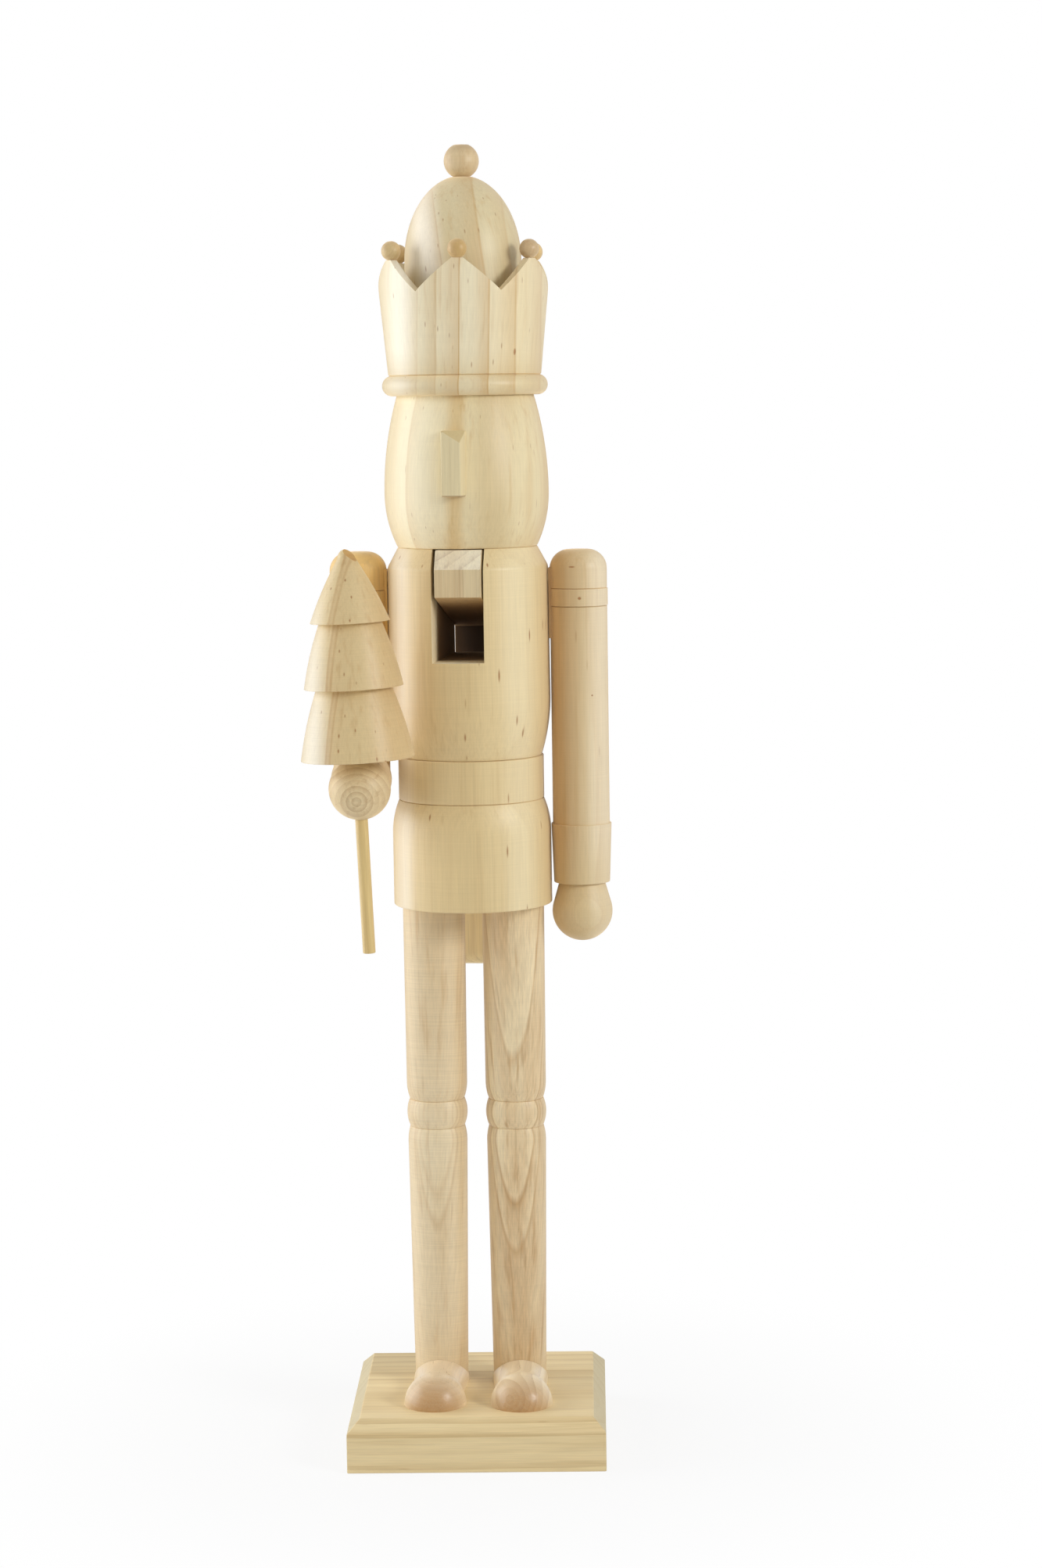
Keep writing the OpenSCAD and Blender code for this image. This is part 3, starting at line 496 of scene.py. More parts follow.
# torso with its mouth slot
torsoSet = {"low": 256.0, "skirt": 37.4, "skirtTop": 290.0, "hem": 34.2, "belt": 34.3,
            "beltZ": (305.7, 326.5), "waist": 33.6, "body": 37.9, "bodyZ": 354.5, "chest": 37.55,
            "chestZ": 415.1, "neck": 32.6, "top": 424.3,
            "kerf": 0.7, "kerfW": 0.5, "kerfAt": (0.1, 0.2),     # belt lines: depth, width, place
            "lowEase": 0.7, "beltEase": 0.2, "chestEase": 0.9, "neckEase": 0.5, "slotEase": 0.3,
            "slot": (24.2, 120.0, 100.0), "slotZ": 372.0, "mouthTurn": -4.3, "near": 0.02,
            "leverTurn": -3.7, "pin": (12.0, 403.0), "pinD": 5.1, "pinCut": 60.0,
            "arc": 12, "steps": 160, "grainZ": 340.0}
torsoLook = {"pale": "e1ca97", "ring": "cdb07b", "streak": "d2b37d", "pith": (-90, 260), "spacing": 11.0,
             "contrast": 0.35, "tint": 0.45, "wander": 5.0, "fleck": 0.8, "flecks": 0.95,
             "fleckSize": (0.55, 3.2), "lathe": 0.05, "seed": 21.0,
             # bands: painted light on the left and right sides, painted shade down the middle
             "bands": (("fffaee", -31.0, 8.0, 0.45), ("f2e4bd", 25.0, 12.0, 0.5),
                       ("c9ad74", 0.0, 12.0, 0.2))}
# the slot's walls darken deeper into the mouth: painted shade
slotLook = {**torsoLook, "bands": (), "pale": "f3e6c4", "tilt": (0, 0, torsoSet["mouthTurn"]), "sheen": 0.0,
            "rough": 0.8, "lathe": 0.0, "hollow": ("9a7c58", -24.0, -12.0, 31.0, 31.5)}
k = torsoSet
beltLow, beltHigh = k["beltZ"]
hemR, hemSweep = swell(k["skirt"] - k["hem"], beltLow - k["skirtTop"])
bodyR, bodySweep = swell(k["body"] - k["waist"], k["bodyZ"] - beltHigh)
path = [(0, k["low"]), (k["skirt"], k["low"], k["lowEase"]), (k["skirt"], k["skirtTop"]),
        (k["skirt"] - hemR, k["skirtTop"], hemSweep, k["arc"]),
        (k["hem"] - k["kerf"], beltLow + k["kerfAt"][0]),
        (k["belt"], beltLow + k["kerfW"], k["beltEase"]), (k["belt"], beltHigh - k["kerfW"], k["beltEase"]),
        (k["waist"] - k["kerf"], beltHigh - k["kerfAt"][1]), (k["waist"], beltHigh),
        (k["body"] - bodyR, k["bodyZ"], bodySweep, k["arc"]), (k["chest"], k["chestZ"], k["chestEase"]),
        (k["neck"], k["top"], k["neckEase"]), (0, k["top"])]
torso = solid("torso", moved(turning(path, k["steps"]), toFigure))
slotW, slotD, slotH = k["slot"]
slotBox = moved(block(slotW, slotD, slotH), ("shift", 0, 0, k["slotZ"] + slotH / 2))
cutAway(torso, moved(slotBox, ("turn", k["mouthTurn"], "Z"), toFigure))
mouthX = Matrix.Rotation(rad(k["mouthTurn"]), 3, "Z") @ Vector((1, 0, 0))
figureAxis = Vector((0, figureY, 0))


def slotRim(*ends):                 # an edge of the slot where it breaks out of the torso in front
    beside = all(abs(abs((v - figureAxis).dot(mouthX)) - slotW / 2) < torsoSet["near"] for v in ends)
    above = ends[0].z + ends[1].z > 2 * (torsoSet["slotZ"] + torsoSet["near"])
    return beside and above and ends[0].y < figureY


def pinHole(d, reach):              # cutter for the lever's cross pin
    place = (("shift", 0, *torsoSet["pin"]), ("turn", torsoSet["leverTurn"], "Z"), toFigure)
    return moved(bore(d, -reach, reach), ("turn", 90, "Y"), *place)


softenWhere(torso, k["slotEase"], slotRim)
cutAway(torso, pinHole(k["pinD"], k["pinCut"]))
finished(torso, "figure", "body_wood", wood("torso wood", (0, figureY, k["grainZ"]), torsoLook), "torso")
torso.data.materials.append(wood("slot wood with painted shade", (0, figureY, k["grainZ"]), slotLook))
# faces inside the slot take the material with painted shade
for face in torso.data.polygons:
    spot = face.center / mm - figureAxis
    inSlot = abs(spot.dot(mouthX)) < slotW / 2 + k["near"] and spot.z > k["slotZ"] - k["near"]
    face.material_index = 1 if inSlot else 0

# jaw lever
leverSet = {"w": 21.5, "wider": 0.075, "warp": -0.58, "ease": 0.3, "top": 423.9, "back": -5.3,
            "lip": (-32.3, 415.1), "face": -37.25, "under": 402.3, "tail": (39.3, 53.3), "heelZ": 384.5,
            "bendZ": 388.5, "bend": 14.0, "endZ": 226.0, "pinD": 5.16, "pinCut": 30.0, "fold": 15.0,
            "endArc": 16, "bendArc": 12, "grainAt": (0, 20.0, 400.0),
            "flat": 0.5, "sloped": 0.2, "mouthZ": 380.0, "tailY": 40.0}  # which faces take other materials: painted shade under the jaw and on the tail inside the mouth, and the paler sloped top of the jaw
# the lower end of the tail is painted pale: painted light
leverLook = {"pale": "dfcda4", "ring": "ab8659", "streak": "cfae7c", "tilt": (0, 0, torsoSet["leverTurn"]),
             "pith": (-65, 130), "ends": ("f7e3b4", -135, -160, 1.0), "spacing": 3.0, "rare": 1.6,
             "wander": 2.0, "tint": 0.3, "fibre": 0.16, "lathe": 0.0, "fleck": 0.3, "flecks": 0.5,
             "rough": 0.6, "sheen": 0.3, "seed": 31.0}
# the jaw's underside and the tail's front inside the mouth darken toward the back: painted shade
leverMore = {"jaw underside with painted shade": {"pale": "cfae7c", "hollow": ("96734c", -47.0, -20.0, -45.0, -28.0),
                               "sheen": 0.0, "rough": 0.8},
             "tail in the mouth with painted shade": {"hollow": ("4a3320", -47.0, -12.0, -45.0, -28.0),
                                   "sheen": 0.0, "rough": 0.8},
             "jaw top": {"pale": "f2e8cc", "ring": "b0977a"}}
k = leverSet
tailFront, tailBack = k["tail"]
bm = bmesh.new()
start = bm.verts.new((0, k["back"], k["top"]))
tip = lineOn(bm, start, (0, k["lip"][0], k["top"]), (0, k["face"], k["lip"][1]), (0, k["face"], k["under"]),
             (0, tailFront, k["heelZ"]), (0, tailFront, k["endZ"]))
tip = arcOn(bm, tip, (0, (tailFront + tailBack) / 2, k["endZ"]), (1, 0, 0), 180, k["endArc"])
tip = lineOn(bm, tip, (0, tailBack, k["bendZ"]))
slope = Vector((k["back"] - tailBack + k["bend"], k["top"] - k["bendZ"]))
sweep = math.degrees(math.atan2(slope.y, slope.x) - math.acos(k["bend"] / slope.length))
tip = arcOn(bm, tip, (0, tailBack - k["bend"], k["bendZ"]), (1, 0, 0), sweep, k["bendArc"])
bm.edges.new((tip, start))
outline = bmesh.ops.contextual_create(bm, geom=bm.edges[:])["faces"]
bmesh.ops.translate(bm, verts=bm.verts, vec=(-k["w"] / 2, 0, 0))
extruded(bm, outline, (k["w"], 0, 0))
soften(bm, creases(bm, k["fold"]), k["ease"])
for v in bm.verts:                  # a little wider and bent toward the tail
    share = min(1, max(0, v.co.y / tailFront))
    v.co.x = v.co.x * (1 + k["wider"] * share) + k["warp"] * share
lever = solid("jawLever", moved(bm, ("turn", torsoSet["leverTurn"], "Z"), toFigure))
cutAway(lever, pinHole(k["pinD"], k["pinCut"]))
finished(lever, "lever", "lever_wood", wood("lever wood", k["grainAt"], leverLook), "jaw_lever")
for name, more in leverMore.items():
    lever.data.materials.append(wood(name, k["grainAt"], {**leverLook, **more}))
for face in lever.data.polygons:
    under = face.normal.z < -k["flat"] and face.center.z > k["mouthZ"] * mm
    behind = face.normal.y < -k["flat"] and face.center.y > k["tailY"] * mm
    sloped = face.normal.z > k["sloped"] and face.normal.y < -k["sloped"]
    face.material_index = 1 if under else 2 if behind else 3 if sloped else 0

# head and nose
headSet = {"low": 424.3, "foot": 32.6, "wideZ": 449.3, "wide": 38.4, "top": 494.5, "brow": 32.0, "ease": 0.6,
           "arc": 18, "steps": 144, "grainZ": 460.0}
headLook = {"pale": "e9dab0", "ring": "cba76c", "streak": "d0ad74", "tilt": (0, 2, 0), "pith": (120, -200),
            "rings": ((-44, 0.1), (-30, 0.1), (-14, 0.25), (-7.8, 0.6), (-7.2, 0.85), (-6.5, 0.0),
                      (14, 0.1)),
            # the pale band on the left is partly a pale zone in the wood and partly painted light; the band
            # right of the middle is painted shade
            "bands": (("fff6d4", -20.0, 20.0, 0.95), ("cda048", -2.5, 6.0, 0.4),
                      ("cdb684", 15.0, 14.0, 0.7)),
            "contrast": 0.55, "wander": 2.6, "tint": 0.45, "fleck": 0.45, "flecks": 0.8,
            "fleckSize": (0.28, 3.0), "lathe": 0.03, "seed": 41.0}
k = headSet
jowlR, jowlSweep = swell(k["wide"] - k["foot"], k["wideZ"] - k["low"])
browR, browSweep = swell(k["wide"] - k["brow"], k["top"] - k["wideZ"])
path = [(0, k["low"]), (k["foot"], k["low"], k["ease"]),
        (k["wide"] - jowlR, k["wideZ"], jowlSweep, k["arc"]),
        (k["wide"] - browR, k["wideZ"], browSweep, k["arc"]), (0, k["top"])]
head = solid("head", moved(turning(path, k["steps"]), toFigure))
finished(head, "figure", "head_wood", wood("head wood", (0, figureY, k["grainZ"]), headLook), "head")
noseSet = {"back": 11.0, "front": 8.7, "out": 7.4, "tenon": 8.0, "low": 448.6, "high": 478.6, "turn": -5.0,
           "fall": (5.6, 5.4), "ease": 0.5, "weld": 0.01, "fold": 12.0, "grainAt": (0, -30.0, 463.0),
           "topFace": 0.3}          # faces that look up by more than this are end grain
noseLook = {"pale": "dfd0a6", "ring": "bfa877", "streak": "d0c093", "pith": (90, 30), "spacing": 3.5,
            # the dark line along the bottom is end grain and painted shadow under the nose
            "contrast": 0.2, "ends": ("8f6433", -13.4, -14.5, 0.8), "threads": 0.2, "sheen": 0.3,
            "fleck": 0.1, "lathe": 0.0, "seed": 44.0}
k = noseSet
rootY, tipY = -headSet["wide"], -headSet["wide"] - k["out"]
half, narrow = k["back"] / 2, k["front"] / 2
bm = bmesh.new()
corners = [bm.verts.new((x, y, k["low"])) for x, y in (
    (-half, rootY + k["tenon"]), (-half, rootY), (-narrow, tipY),
    (narrow, tipY), (half, rootY), (half, rootY + k["tenon"]))]
extruded(bm, [bm.faces.new(corners)], (0, 0, k["high"] - k["low"]))
slant = Vector((k["fall"][0] / k["front"], -k["fall"][1] / k["out"], 1)).normalized()
sliced(bm, (-narrow, tipY, k["high"]), slant, True)
bmesh.ops.remove_doubles(bm, verts=bm.verts, dist=k["weld"])
bmesh.ops.recalc_face_normals(bm, faces=bm.faces)
soften(bm, creases(bm, k["fold"]), k["ease"])
nose = solid("nose", moved(bm, ("turn", k["turn"], "Z"), toFigure))
finished(nose, "figure", "head_wood", wood("nose wood", k["grainAt"], noseLook), "nose")
nose.data.materials.append(wood("nose end grain", k["grainAt"], {**noseLook, "pale": "cdb988"}))
for face in nose.data.polygons:
    face.material_index = 1 if face.normal.z > k["topFace"] else 0

# crown
crownSet = {"low": 494.5, "foot": (33.9, 499.2), "footSweep": 158.8, "kerf": (35.0, 503.9),
            "wall": (35.63, 504.2), "lip": 39.12, "lipZ": 540.5, "flare": 55.0, "flareAt": (-15.6, 546.0),
            "flareSweep": 16.84, "inside": 35.0, "outside": 35.5, "bowl": (32.0, 514.0), "top": 556.6,
            "notch": 541.8, "points": 6,
            "pointTurn": 3.9, "meshTurn": 5.0,      # half a point's flat, degrees, and where the mesh has it
            "ease": 0.3, "fold": 40.0, "near": 0.01, "footArc": 20, "rows": 7, "steps": 144, "grainZ": 525.0}
crownLook = {"pale": "efe3c1", "ring": "ba8526", "streak": "d9c294", "threads": 0.25, "pith": (-600, -36),
             "tilt": (0, 1.6, 0), "contrast": 0.85, "wander": 1.0, "tint": 0.3,
             "rings": ringLine(-20.6, 0.28, 8) + ringLine(-11.8, 0.5, 6) + ringLine(-0.9, 0.9, 9)
             + ringLine(12.6, 0.8, 8) + ringLine(24.6, 0.8, 9) + ringLine(35.8, 0.5, 8),
             "knots": ((25.1, -26.6, -10.3, 0.8, 1.7),), "fleck": 0.55, "flecks": 0.9,
             "fleckSize": (0.35, 1.6),
             # painted light on the left, painted shade on the right and toward the foot ring
             "bands": (("fffae8", -28.0, 10.0, 0.8), ("e8d3a0", 26.0, 16.0, 0.35)),
             "ends": ("cbb27c", -8.0, -24.0, 0.35), "lathe": 0.03, "seed": 51.0}
k = crownSet
lift = k["top"] - k["lipZ"]
span = 180 / k["points"]
footR = k["foot"][0]
flareR, flareZ = k["flareAt"]
path = [(0, k["low"]), (footR, k["low"]), (*k["foot"], k["footSweep"], k["footArc"]), k["kerf"], k["wall"],
        (k["lip"], k["lipZ"]), (flareR, flareZ, k["flareSweep"], k["rows"])]
path += [(k["inside"], k["top"] - i * lift / k["rows"]) for i in range(k["rows"] + 1)]
path += [k["bowl"], (0, k["bowl"][1])]
bm = turning(path, k["steps"])
rim = {v for v in bm.verts if v.co.z > k["top"] - k["near"]}
for v in bm.verts:                  # the plain rim becomes points and notches
    if v.co.z < k["lipZ"] + k["near"]:
        continue
    r = math.hypot(v.co.x, v.co.y)
    turn = math.degrees(math.atan2(v.co.y, v.co.x)) + 90
    middle = round(turn / (2 * span)) * 2 * span
    off = abs(turn - middle)
    if off < k["meshTurn"]:
        off *= k["pointTurn"] / k["meshTurn"]
    else:
        off = k["pointTurn"] + (off - k["meshTurn"]) * (span - k["pointTurn"]) / (span - k["meshTurn"])
    share = min(1, math.sin(rad(span - off)) / math.sin(rad(span - k["pointTurn"])))
    high = k["notch"] + (k["top"] - k["notch"]) * share
    z = k["lipZ"] + (v.co.z - k["lipZ"]) * (high - k["lipZ"]) / lift
    if r > k["outside"]:
        r = flareR + math.sqrt(k["flare"] ** 2 - (z - flareZ) ** 2)
    turn = rad(middle + math.copysign(off, turn - middle) - 90)
    v.co = (r * math.cos(turn), r * math.sin(turn), z)
bmesh.ops.recalc_face_normals(bm, faces=bm.faces)
soften(bm, [e for e in creases(bm, k["fold"]) if all(v in rim for v in e.verts)], k["ease"])
crown = solid("crown", moved(bm, toFigure))
finished(crown, "figure", "crown_wood", wood("crown wood", (0, figureY, k["grainZ"]), crownLook), "crown")
domeSet = {"r": 27.2, "low": 514.0, "egg": 556.0, "eggH": 39.5, "sweep": 79.0, "arc": 24, "steps": 128,
           "grainZ": 575.0}
# the pale band on the dome's left is painted light
domeLook = {**crownLook, "pale": "dacba2", "bands": (("fff6e2", -17.0, 11.0, 0.9),), "ends": None,
            "knots": (), "tilt": (0, -8, 0), "seed": 55.0,
            "rings": ringLine(-11.6, 0.4, 7) + ringLine(6.8, 0.75, 9) + ringLine(19.0, 0.5, 8)}
k = domeSet
path = [(0, k["low"]), (k["r"], k["low"]), (k["r"], k["egg"]), (0, k["egg"], k["sweep"], k["arc"]),
        (0, k["egg"] + k["r"] * math.sin(rad(k["sweep"])))]
bm = turning(path, k["steps"])
for v in bm.verts:                  # the half ball becomes an egg
    if v.co.z > k["egg"] + tiny:
        v.co.z = k["egg"] + (v.co.z - k["egg"]) * k["eggH"] / k["r"]
dome = solid("crownDome", moved(bm, toFigure))
finished(dome, "figure", "crown_wood", wood("dome wood", (0, figureY, k["grainZ"]), domeLook), "crown_dome")

# finial ball and beads
ballSet = {"r": 8.15, "flat": 7.4, "sink": 0.01, "grainZ": 602.0, "arc": 28, "steps": 64}
beadSet = {"r": 4.5, "flat": 4.2, "round": 0.05, "ring": 36.7, "low": 556.6, "grainZ": 561.0, "steps": 40,
           "tones": ("c4a161", "c4a97f", "dfc084", "d6b784", "d9bf92", "d0b682"),
           "tilt": (9, 20), "seed": 63.0, "seedStep": 2}
ballLook = {"pale": "d8c298", "ring": "b98f5c", "streak": "d0b080", "spacing": 4.0, "pith": (12, 40),
            "contrast": 0.4, "tint": 0.5, "fleck": 0.1, "lathe": 0.08}
finialLook = {**ballLook, "pith": (140, 60), "ends": ("a98a5c", 3.0, 7.4, 0.6), "seed": 61.0}


def ball(r, low, high, steps):      # turned ball with flats
    sweep = 180 - math.degrees(math.acos(low / r)) - math.degrees(math.acos(high / r))
    lowR = math.sqrt(r * r - low * low)
    return turning([(0, -low), (lowR, -low), (0, 0, sweep, ballSet["arc"]), (0, high)], steps)


k = ballSet
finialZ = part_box("finial_ball")[0][2] / mm + k["flat"] - k["sink"]
bm = ball(k["r"], k["flat"], k["flat"], k["steps"])
finial = solid("finialBall", moved(bm, ("shift", 0, figureY, finialZ)))
mat = wood("finial wood", (0, figureY, k["grainZ"]), finialLook)
finished(finial, "figure", "crown_wood", mat, "finial_ball")
k = beadSet
for i, tone in enumerate(k["tones"]):
    turn = rad(2 * span * i - 90)
    x, y = k["ring"] * math.cos(turn), figureY + k["ring"] * math.sin(turn)
    bm = ball(k["r"], k["flat"], k["r"] - k["round"], k["steps"])
    bead = solid("crownBead%d" % (i + 1), moved(bm, ("shift", x, y, k["low"] + k["flat"])))
    look = {**ballLook, "pale": tone, "spacing": 2.6, "seed": k["seed"] + k["seedStep"] * i,
            "tilt": (k["tilt"][0] * i, k["tilt"][1] * i, 0)}
    mat = wood("bead %d wood" % (i + 1), (x, y, k["grainZ"]), look)
    finished(bead, "figure", "crown_wood", mat, "crown_bead_%d" % (i + 1))

# arms
armSet = {"x": 51.7, "r": 13.4, "low": 237.6, "hand": 14.2, "heel": 13.3, "wrist": 10.8,
          "cuff": (13.2, 14.2), "cuffZ": (28.0, 56.0), "cuffEase": 0.35, "top": 422.4, "round": 9.0,
          "band": 13.7, "bandZ": (396.2, 404.1), "bandEase": 0.12, "kerf": 0.6, "kerfAt": 0.1, "kerfW": 0.5,
          "elbow": 317.0, "reach": 59.0, "turn": 4.6, "upperLow": 285.0, "foreLong": 95.0,
          "pad": (9.0, 381.0, 414.0), "padR": 38.05, "padIn": 0.6, "past": 1.0, "padSteps": 160,
          "handArc": 26, "topArc": 12, "steps": 112, "grainZ": 330.0, "upperGrainZ": 370.0}
armLook = {"pale": "e6d3ab", "ring": "c6a472", "streak": "d4b684", "pith": (-40, 170), "spacing": 6.5,
           "contrast": 0.3, "wander": 2.5, "fleck": 0.25, "lathe": 0.05, "rough": 0.5, "seed": 71.0}
leftArmLook = {**armLook, "ends": ("d2ba86", -35.0, -70.0, 0.4),
               # painted shade on the side toward the torso and down the middle, painted light on the right
               "bands": (("be842f", -11.0, 18.0, 0.6), ("c9ae7c", 0.0, 9.5, 0.4),
                         ("ecddc3", 11.0, 9.0, 0.5)),
               "knots": ((0.9, -13.7, 70.0, 0.9, 0.8), (-2.6, -13.1, 84.6, 1.6, 0.4),
                         (6.2, -11.9, 24.6, 0.5, 0.5))}
upperLook = {**armLook, "pale": "f3ca7a", "seed": 75.0}
fistLook = {**armLook, "pale": "dfca9e", "ring": "b28e62", "tilt": (90, 0, armSet["turn"]),
            "pith": (-1.3, -4.5), "spacing": 2.6, "contrast": 0.65, "sharp": 1.4, "lathe": 0.14,
            "wander": 1.0, "seed": 78.0}
k = armSet
cuffLow, cuffHigh = k["cuffZ"]
bandLow, bandHigh = k["bandZ"]
handSweep = 180 - math.degrees(math.asin(k["heel"] / k["hand"]))
handPath = [(0, 0), (0, k["hand"], handSweep, k["handArc"]), (k["wrist"], cuffLow),
            (k["cuff"][0], cuffLow, k["cuffEase"]), (k["cuff"][1], cuffHigh, k["cuffEase"]),
            (k["r"], cuffHigh)]
shoulder = [(k["r"], bandLow - k["kerfW"]), (k["r"] - k["kerf"], bandLow - k["kerfAt"]),
            (k["band"], bandLow, k["bandEase"]), (k["band"], bandHigh, k["bandEase"]),
            (k["r"] - k["kerf"], bandHigh + k["kerfAt"]), (k["r"], bandHigh + k["kerfW"]),
            (k["r"], k["top"] - k["round"]), (k["r"] - k["round"], k["top"] - k["round"], 90, k["topArc"]),
            (0, k["top"])]


def withPad(arm, side):             # joins the block that bears on the torso to an arm
    wide, low, high = armSet["pad"]
    far = armSet["x"] - armSet["r"] * armSet["padIn"]
    near = armSet["padR"] - armSet["past"]
    bm = block(far - near, wide, high - low)
    pad = solid("pad", moved(bm, ("shift", side * (far + near) / 2, figureY, (low + high) / 2)))
    body = bore(2 * armSet["padR"], low - armSet["past"], high + armSet["past"], armSet["padSteps"])
    cutAway(pad, moved(body, toFigure))
    boolean(arm, pad, "UNION")


path = [(r, z + k["low"], *more) for r, z, *more in handPath] + shoulder
arm = solid("leftArm", moved(turning(path, k["steps"]), ("shift", k["x"], figureY, 0)))
withPad(arm, 1)
mat = wood("left arm wood", (k["x"], figureY, k["grainZ"]), leftArmLook)
finished(arm, "figure", "limb_wood", mat, "left_arm")
elbowTurn = Matrix.Rotation(rad(k["turn"]), 3, "Z")
mitre = elbowTurn @ Vector((0, 1, 1)).normalized()
elbow = Vector((-k["x"], figureY, k["elbow"]))
path = [(0, k["upperLow"]), (k["r"], k["upperLow"])] + shoulder
bm = moved(turning(path, k["steps"]), ("shift", -k["x"], figureY, 0))
upper = solid("rightUpperArm", sliced(bm, elbow, mitre, False))
withPad(upper, -1)
mat = wood("right arm wood", (-k["x"], figureY, k["upperGrainZ"]), upperLook)
finished(upper, "figure", "limb_wood", mat, "right_upper_arm")
bm = turning(handPath + [(k["r"], k["foreLong"]), (0, k["foreLong"])], k["steps"])
moved(bm, ("shift", 0, 0, -k["reach"] - k["hand"]), ("turn", -90, "X"), ("turn", k["turn"], "Z"),
      ("shift", *elbow))
forearm = solid("rightForearm", sliced(bm, elbow, mitre, True))
fist = elbow + elbowTurn @ Vector((0, -k["reach"], 0))
treeSet = {"lean": 2.2, "seat": 13.98, "staff": 2.9, "hole": 3.0, "holeCut": 30.0, "below": 75.7,
           "inTree": 40.0,          # each tier: radius below and above, from, to
           "tiers": ((26.0, 17.2, 0.0, 32.6), (22.7, 14.2, 32.6, 62.3), (18.3, 4.0, 62.3, 91.3)),
           "swell": 0.8, "rows": 6, "ease": 0.35, "tip": 4.0, "tipZ": 91.3, "tipSweep": 88, "tipArc": 8,
           "chipAt": (0.6, -0.6, 93.6), "chipWay": (0.62, -0.3, 0.72), "chipEdges": 8, "chipUp": 0.3,
           "fit": 0.05, "room": 0.5, "rim": 0.4, "steps": 128, "staffSteps": 48}
k = treeSet
onStaff = (("turn", -k["lean"], "Y"), ("shift", *fist))
cutAway(forearm, moved(bore(2 * k["hole"], -k["holeCut"], k["holeCut"]), *onStaff))
finished(forearm, "figure", "limb_wood", wood("forearm wood", tuple(fist), fistLook), "right_forearm")

# tree and its staff
treeLook = {"pale": "dec896", "ring": "ab732a", "streak": "d6ba88", "tilt": (0, -k["lean"], 0),
            "pith": (-514, 309),
            "rings": ((-6, 0.0), (1.0, 0.06), (1.7, 0.85), (2.5, 0.45), (3.4, 0.45), (4.0, 0.95),
                      (4.7, 0.3), (12, 0.2), (26, 0.1)),
            # painted shade on the right beside the torso, painted light on the left
            "bands": (("c09656", 19.0, 16.0, 0.4), ("f4f3e8", -20.0, 12.0, 0.6)), "wander": 0.6, "tint": 0.3,
            "threads": 0.3, "lathe": 0.09, "fleck": 0.8, "flecks": 0.8, "fleckSize": (0.45, 1.2),
            "seed": 81.0}
chipLook = {**treeLook, "pale": "c59c5c", "bands": (), "fleck": 0.0, "sheen": 0.0}
staffLook = {"pale": "ddc282", "ring": "c09a5c", "streak": "d2b274", "tilt": (0, -k["lean"], 0),
             "spacing": 1.6, "pith": (20, 60), "contrast": 0.5, "fibre": 0.2, "lathe": 0.0, "fleck": 0.2,
             "fleckSize": (0.15, 1.5), "seed": 85.0}
path = [(0, 0)]
for wide, narrow, low, high in k["tiers"]:
    path.append((wide, low, k["ease"]))
    for share in [i / k["rows"] for i in range(1, k["rows"] + 1)]:
        r = wide + (narrow - wide) * share + k["swell"] * math.sin(rad(180 * share))
        path.append((r, low + (high - low) * share))
path += [(0, k["tipZ"], k["tipSweep"], k["tipArc"]), (0, k["tipZ"] + k["tip"])]
bm = sliced(turning(path, k["steps"]), k["chipAt"], k["chipWay"], True)
tree = solid("tree", moved(bm, ("shift", 0, 0, k["seat"]), *onStaff))
staffTop = k["seat"] + k["inTree"]
cutAway(tree, moved(bore(2 * (k["staff"] + k["fit"]), 0, staffTop + k["room"], k["steps"]), *onStaff))
treeFoot = tuple(fist + Matrix.Rotation(rad(-k["lean"]), 3, "Y") @ Vector((0, 0, k["seat"])))
finished(tree, "tree", "tree_wood", wood("tree wood", treeFoot, treeLook), "tree")
tree.data.materials.append(wood("split tip", treeFoot, chipLook))
for face in tree.data.polygons:
    chipped = len(face.vertices) > k["chipEdges"] and face.normal.z > k["chipUp"]
    face.material_index = 1 if chipped else 0
path = [(0, -k["below"]), (k["staff"], -k["below"], k["rim"]), (k["staff"], staffTop, k["rim"]),
        (0, staffTop)]
staff = solid("treeStaff", moved(turning(path, k["staffSteps"]), *onStaff))
finished(staff, "tree", "tree_wood", wood("staff wood", tuple(fist), staffLook), "tree_staff")

# inner dowels, pins and screws keep their solids
innerSet = {"grainZ": 300.0, "steel": ("pivot_pin", "leg_screws", "bead_pins")}
dowelLook = {"pale": "dcc48e", "ring": "c4a064", "spacing": 1.8, "contrast": 0.4, "fibre": 0.2, "lathe": 0.0,
             "seed": 91.0}
steelLook = {"bright": "b9b9b6", "dull": "8d8c88", "dullFade": (0.45, 0.75),
             "lines": ((6, 0.25, 0.25), 3.0, 3.0),   # drawn lines: mm, seed, detail
             "rough": 0.2, "rougher": 0.3}


def steel(name, look):
    mat = bpy.data.materials.new(name)
    tree = blankTree(mat)
    drawn = source(tree, "TexCoord", "Object").scaled(1 / mm).noise(*look["lines"])
    colour = drawn.toward(paint(look["bright"]), 1.0)
    colour = colour.toward(paint(look["dull"]), drawn.fade(*look["dullFade"]))
    skin = colour.node("BsdfPrincipled", {}, {
        "Base Color": colour, "Metallic": 1.0, "Roughness": drawn * look["rougher"] + look["rough"]})
    skin.node("OutputMaterial", {}, {"Surface": skin})
    return mat


dowelMat = wood("dowel wood", (0, figureY, innerSet["grainZ"]), dowelLook)
steelMat = steel("bright steel", steelLook)
for name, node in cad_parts.items():
    if not node.hide_render:
        node.data.materials.clear()
        node.data.materials.append(steelMat if name in innerSet["steel"] else dowelMat)
print("materials on the inner pieces")

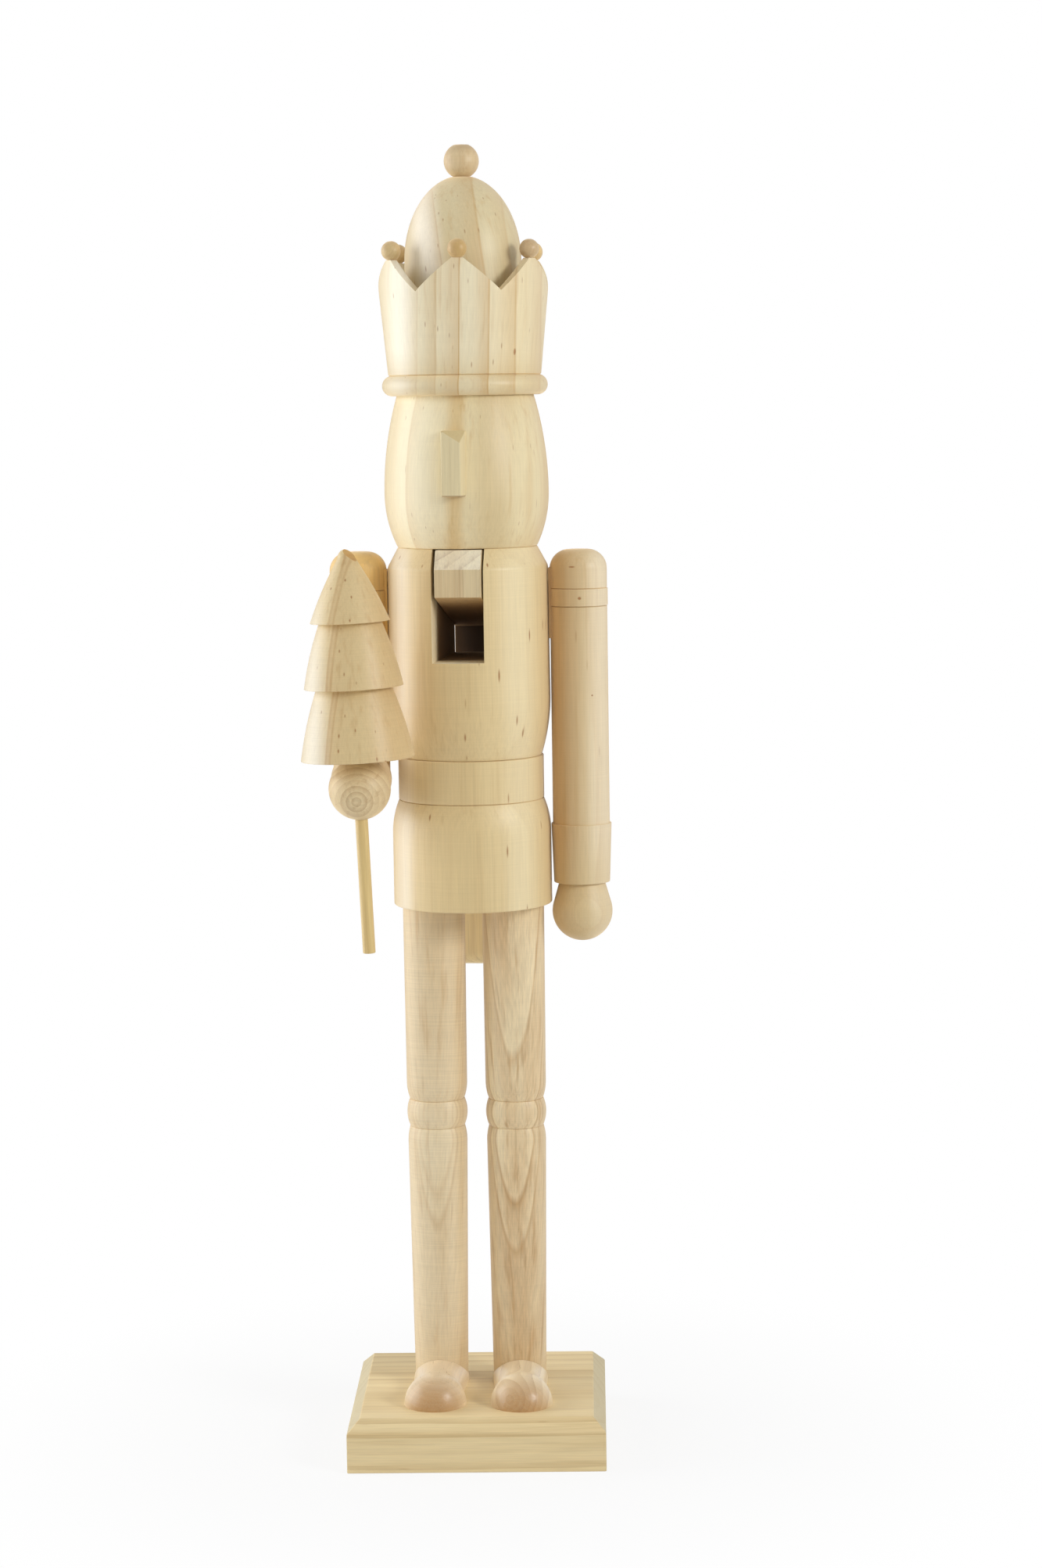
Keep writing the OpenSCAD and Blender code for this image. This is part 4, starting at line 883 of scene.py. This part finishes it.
# camera where the photograph was taken from: mm and degrees
viewSet = {"yaw": 4.0, "away": 1613.8, "high": 492.5, "aim": 0.83, "pitch": 6.387, "roll": 0.85,
           "lens": 79.0, "sensor": 36.0}
k = viewSet
yaw, aim, pitch, roll = (rad(k[n]) for n in ("yaw", "aim", "pitch", "roll"))
up = Vector((0, 0, 1))
ahead, right = Vector((-math.sin(yaw), math.cos(yaw), 0)), Vector((math.cos(yaw), math.sin(yaw), 0))
ahead, right = ahead * math.cos(aim) + right * math.sin(aim), right * math.cos(aim) - ahead * math.sin(aim)
sight = ahead * math.cos(pitch) - up * math.sin(pitch)
lift = ahead * math.sin(pitch) + up * math.cos(pitch)
camUp = lift * math.cos(roll) + right * math.sin(roll)
camRight = right * math.cos(roll) - lift * math.sin(roll)
eye = Vector((k["away"] * math.sin(yaw), figureY - k["away"] * math.cos(yaw), k["high"])) * mm
camData = bpy.data.cameras.new("camera")
camData.lens, camData.sensor_width = k["lens"], k["sensor"]
camera = placed("camera", camData)
camera.matrix_world = Matrix.Translation(eye) @ Matrix((camRight, camUp, -sight)).transposed().to_4x4()
bpy.context.scene.camera = camera

# floor and light
lightSet = {"front": 0.35, "behind": 0.5, "turnover": (-0.2, 0.8),     # the room before and behind
            "floor": 6.0, "floorGrey": 0.86, "floorShare": (0.86, 1.0), "floorFade": (0.07, 0.3),
            "aimZ": 0.34,
            "lamps": {"left": (16.0, -93, 1.4, 0.60, (1.4, 1.2)), "right": (9.8, 57, 1.4, 0.85, (0.4, 0.4)),
                      "top": (2.0, 15, 0.5, 1.5, (1.2, 1.2))}}     # watts, degrees from the front, m
k = lightSet
white = (1, 1, 1, 1)


def background(tree):               # rays that see the white background
    rays = tree.nodes.new("ShaderNodeLightPath")
    seen = Wire(tree, rays.outputs["Is Camera Ray"])
    seen = seen.maths("MAXIMUM", seen, Wire(tree, rays.outputs["Is Glossy Ray"]))
    return seen.maths("MAXIMUM", seen, Wire(tree, rays.outputs["Is Transmission Ray"]))


bm = bmesh.new()
bmesh.ops.create_grid(bm, x_segments=1, y_segments=1, size=k["floor"])
floorMesh = bpy.data.meshes.new("floor")
bm.to_mesh(floorMesh)
bm.free()
floor = placed("floor", floorMesh)
floor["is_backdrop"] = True
floorMat = bpy.data.materials.new("pale floor")
floorTree = blankTree(floorMat)
seen = background(floorTree)
spot = source(floorTree, "TexCoord", "Object")
far = spot.vector("LENGTH", spot, out=1).fade(*k["floorFade"])
nearShare, farShare = k["floorShare"]
matte = seen.node("BsdfDiffuse", {}, {"Color": (k["floorGrey"], k["floorGrey"], k["floorGrey"], 1)})
bright = seen.node("Emission", {}, {"Color": white, "Strength": 1.0})
share = seen * (far * (farShare - nearShare) + nearShare)
ground = seen.node("MixShader", {}, {0: share, 1: matte, 2: bright})
ground.node("OutputMaterial", {}, {"Surface": ground})
floorMesh.materials.append(floorMat)
world = bpy.data.worlds.new("studio")
bpy.context.scene.world = world
worldTree = blankTree(world)
seen = background(worldTree)
behind = source(worldTree, "TexCoord", "Generated").part(1).fade(*k["turnover"])
front, back, plain = (seen.node("Background", {}, {"Color": white, "Strength": strength})
                      for strength in (k["front"], k["behind"], 1.0))
soft = seen.node("MixShader", {}, {0: behind, 1: front, 2: back})
sky = seen.node("MixShader", {}, {0: seen, 1: soft, 2: plain})
sky.node("OutputWorld", {}, {"Surface": sky})
for name, (power, turn, away, height, size) in k["lamps"].items():
    data = bpy.data.lights.new(name + " softbox", "AREA")
    data.energy, data.shape, data.size, data.size_y = power, "RECTANGLE", *size
    lamp = placed(name + " softbox", data)
    lamp.location = (away * math.sin(rad(turn)), -away * math.cos(rad(turn)), height)
    lamp.rotation_mode = "QUATERNION"
    lamp.rotation_quaternion = (Vector((0, 0, k["aimZ"])) - lamp.location).to_track_quat("-Z", "Y")
bpy.context.scene.view_settings.view_transform = "Standard"
print("camera, floor and light set")

low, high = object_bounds()
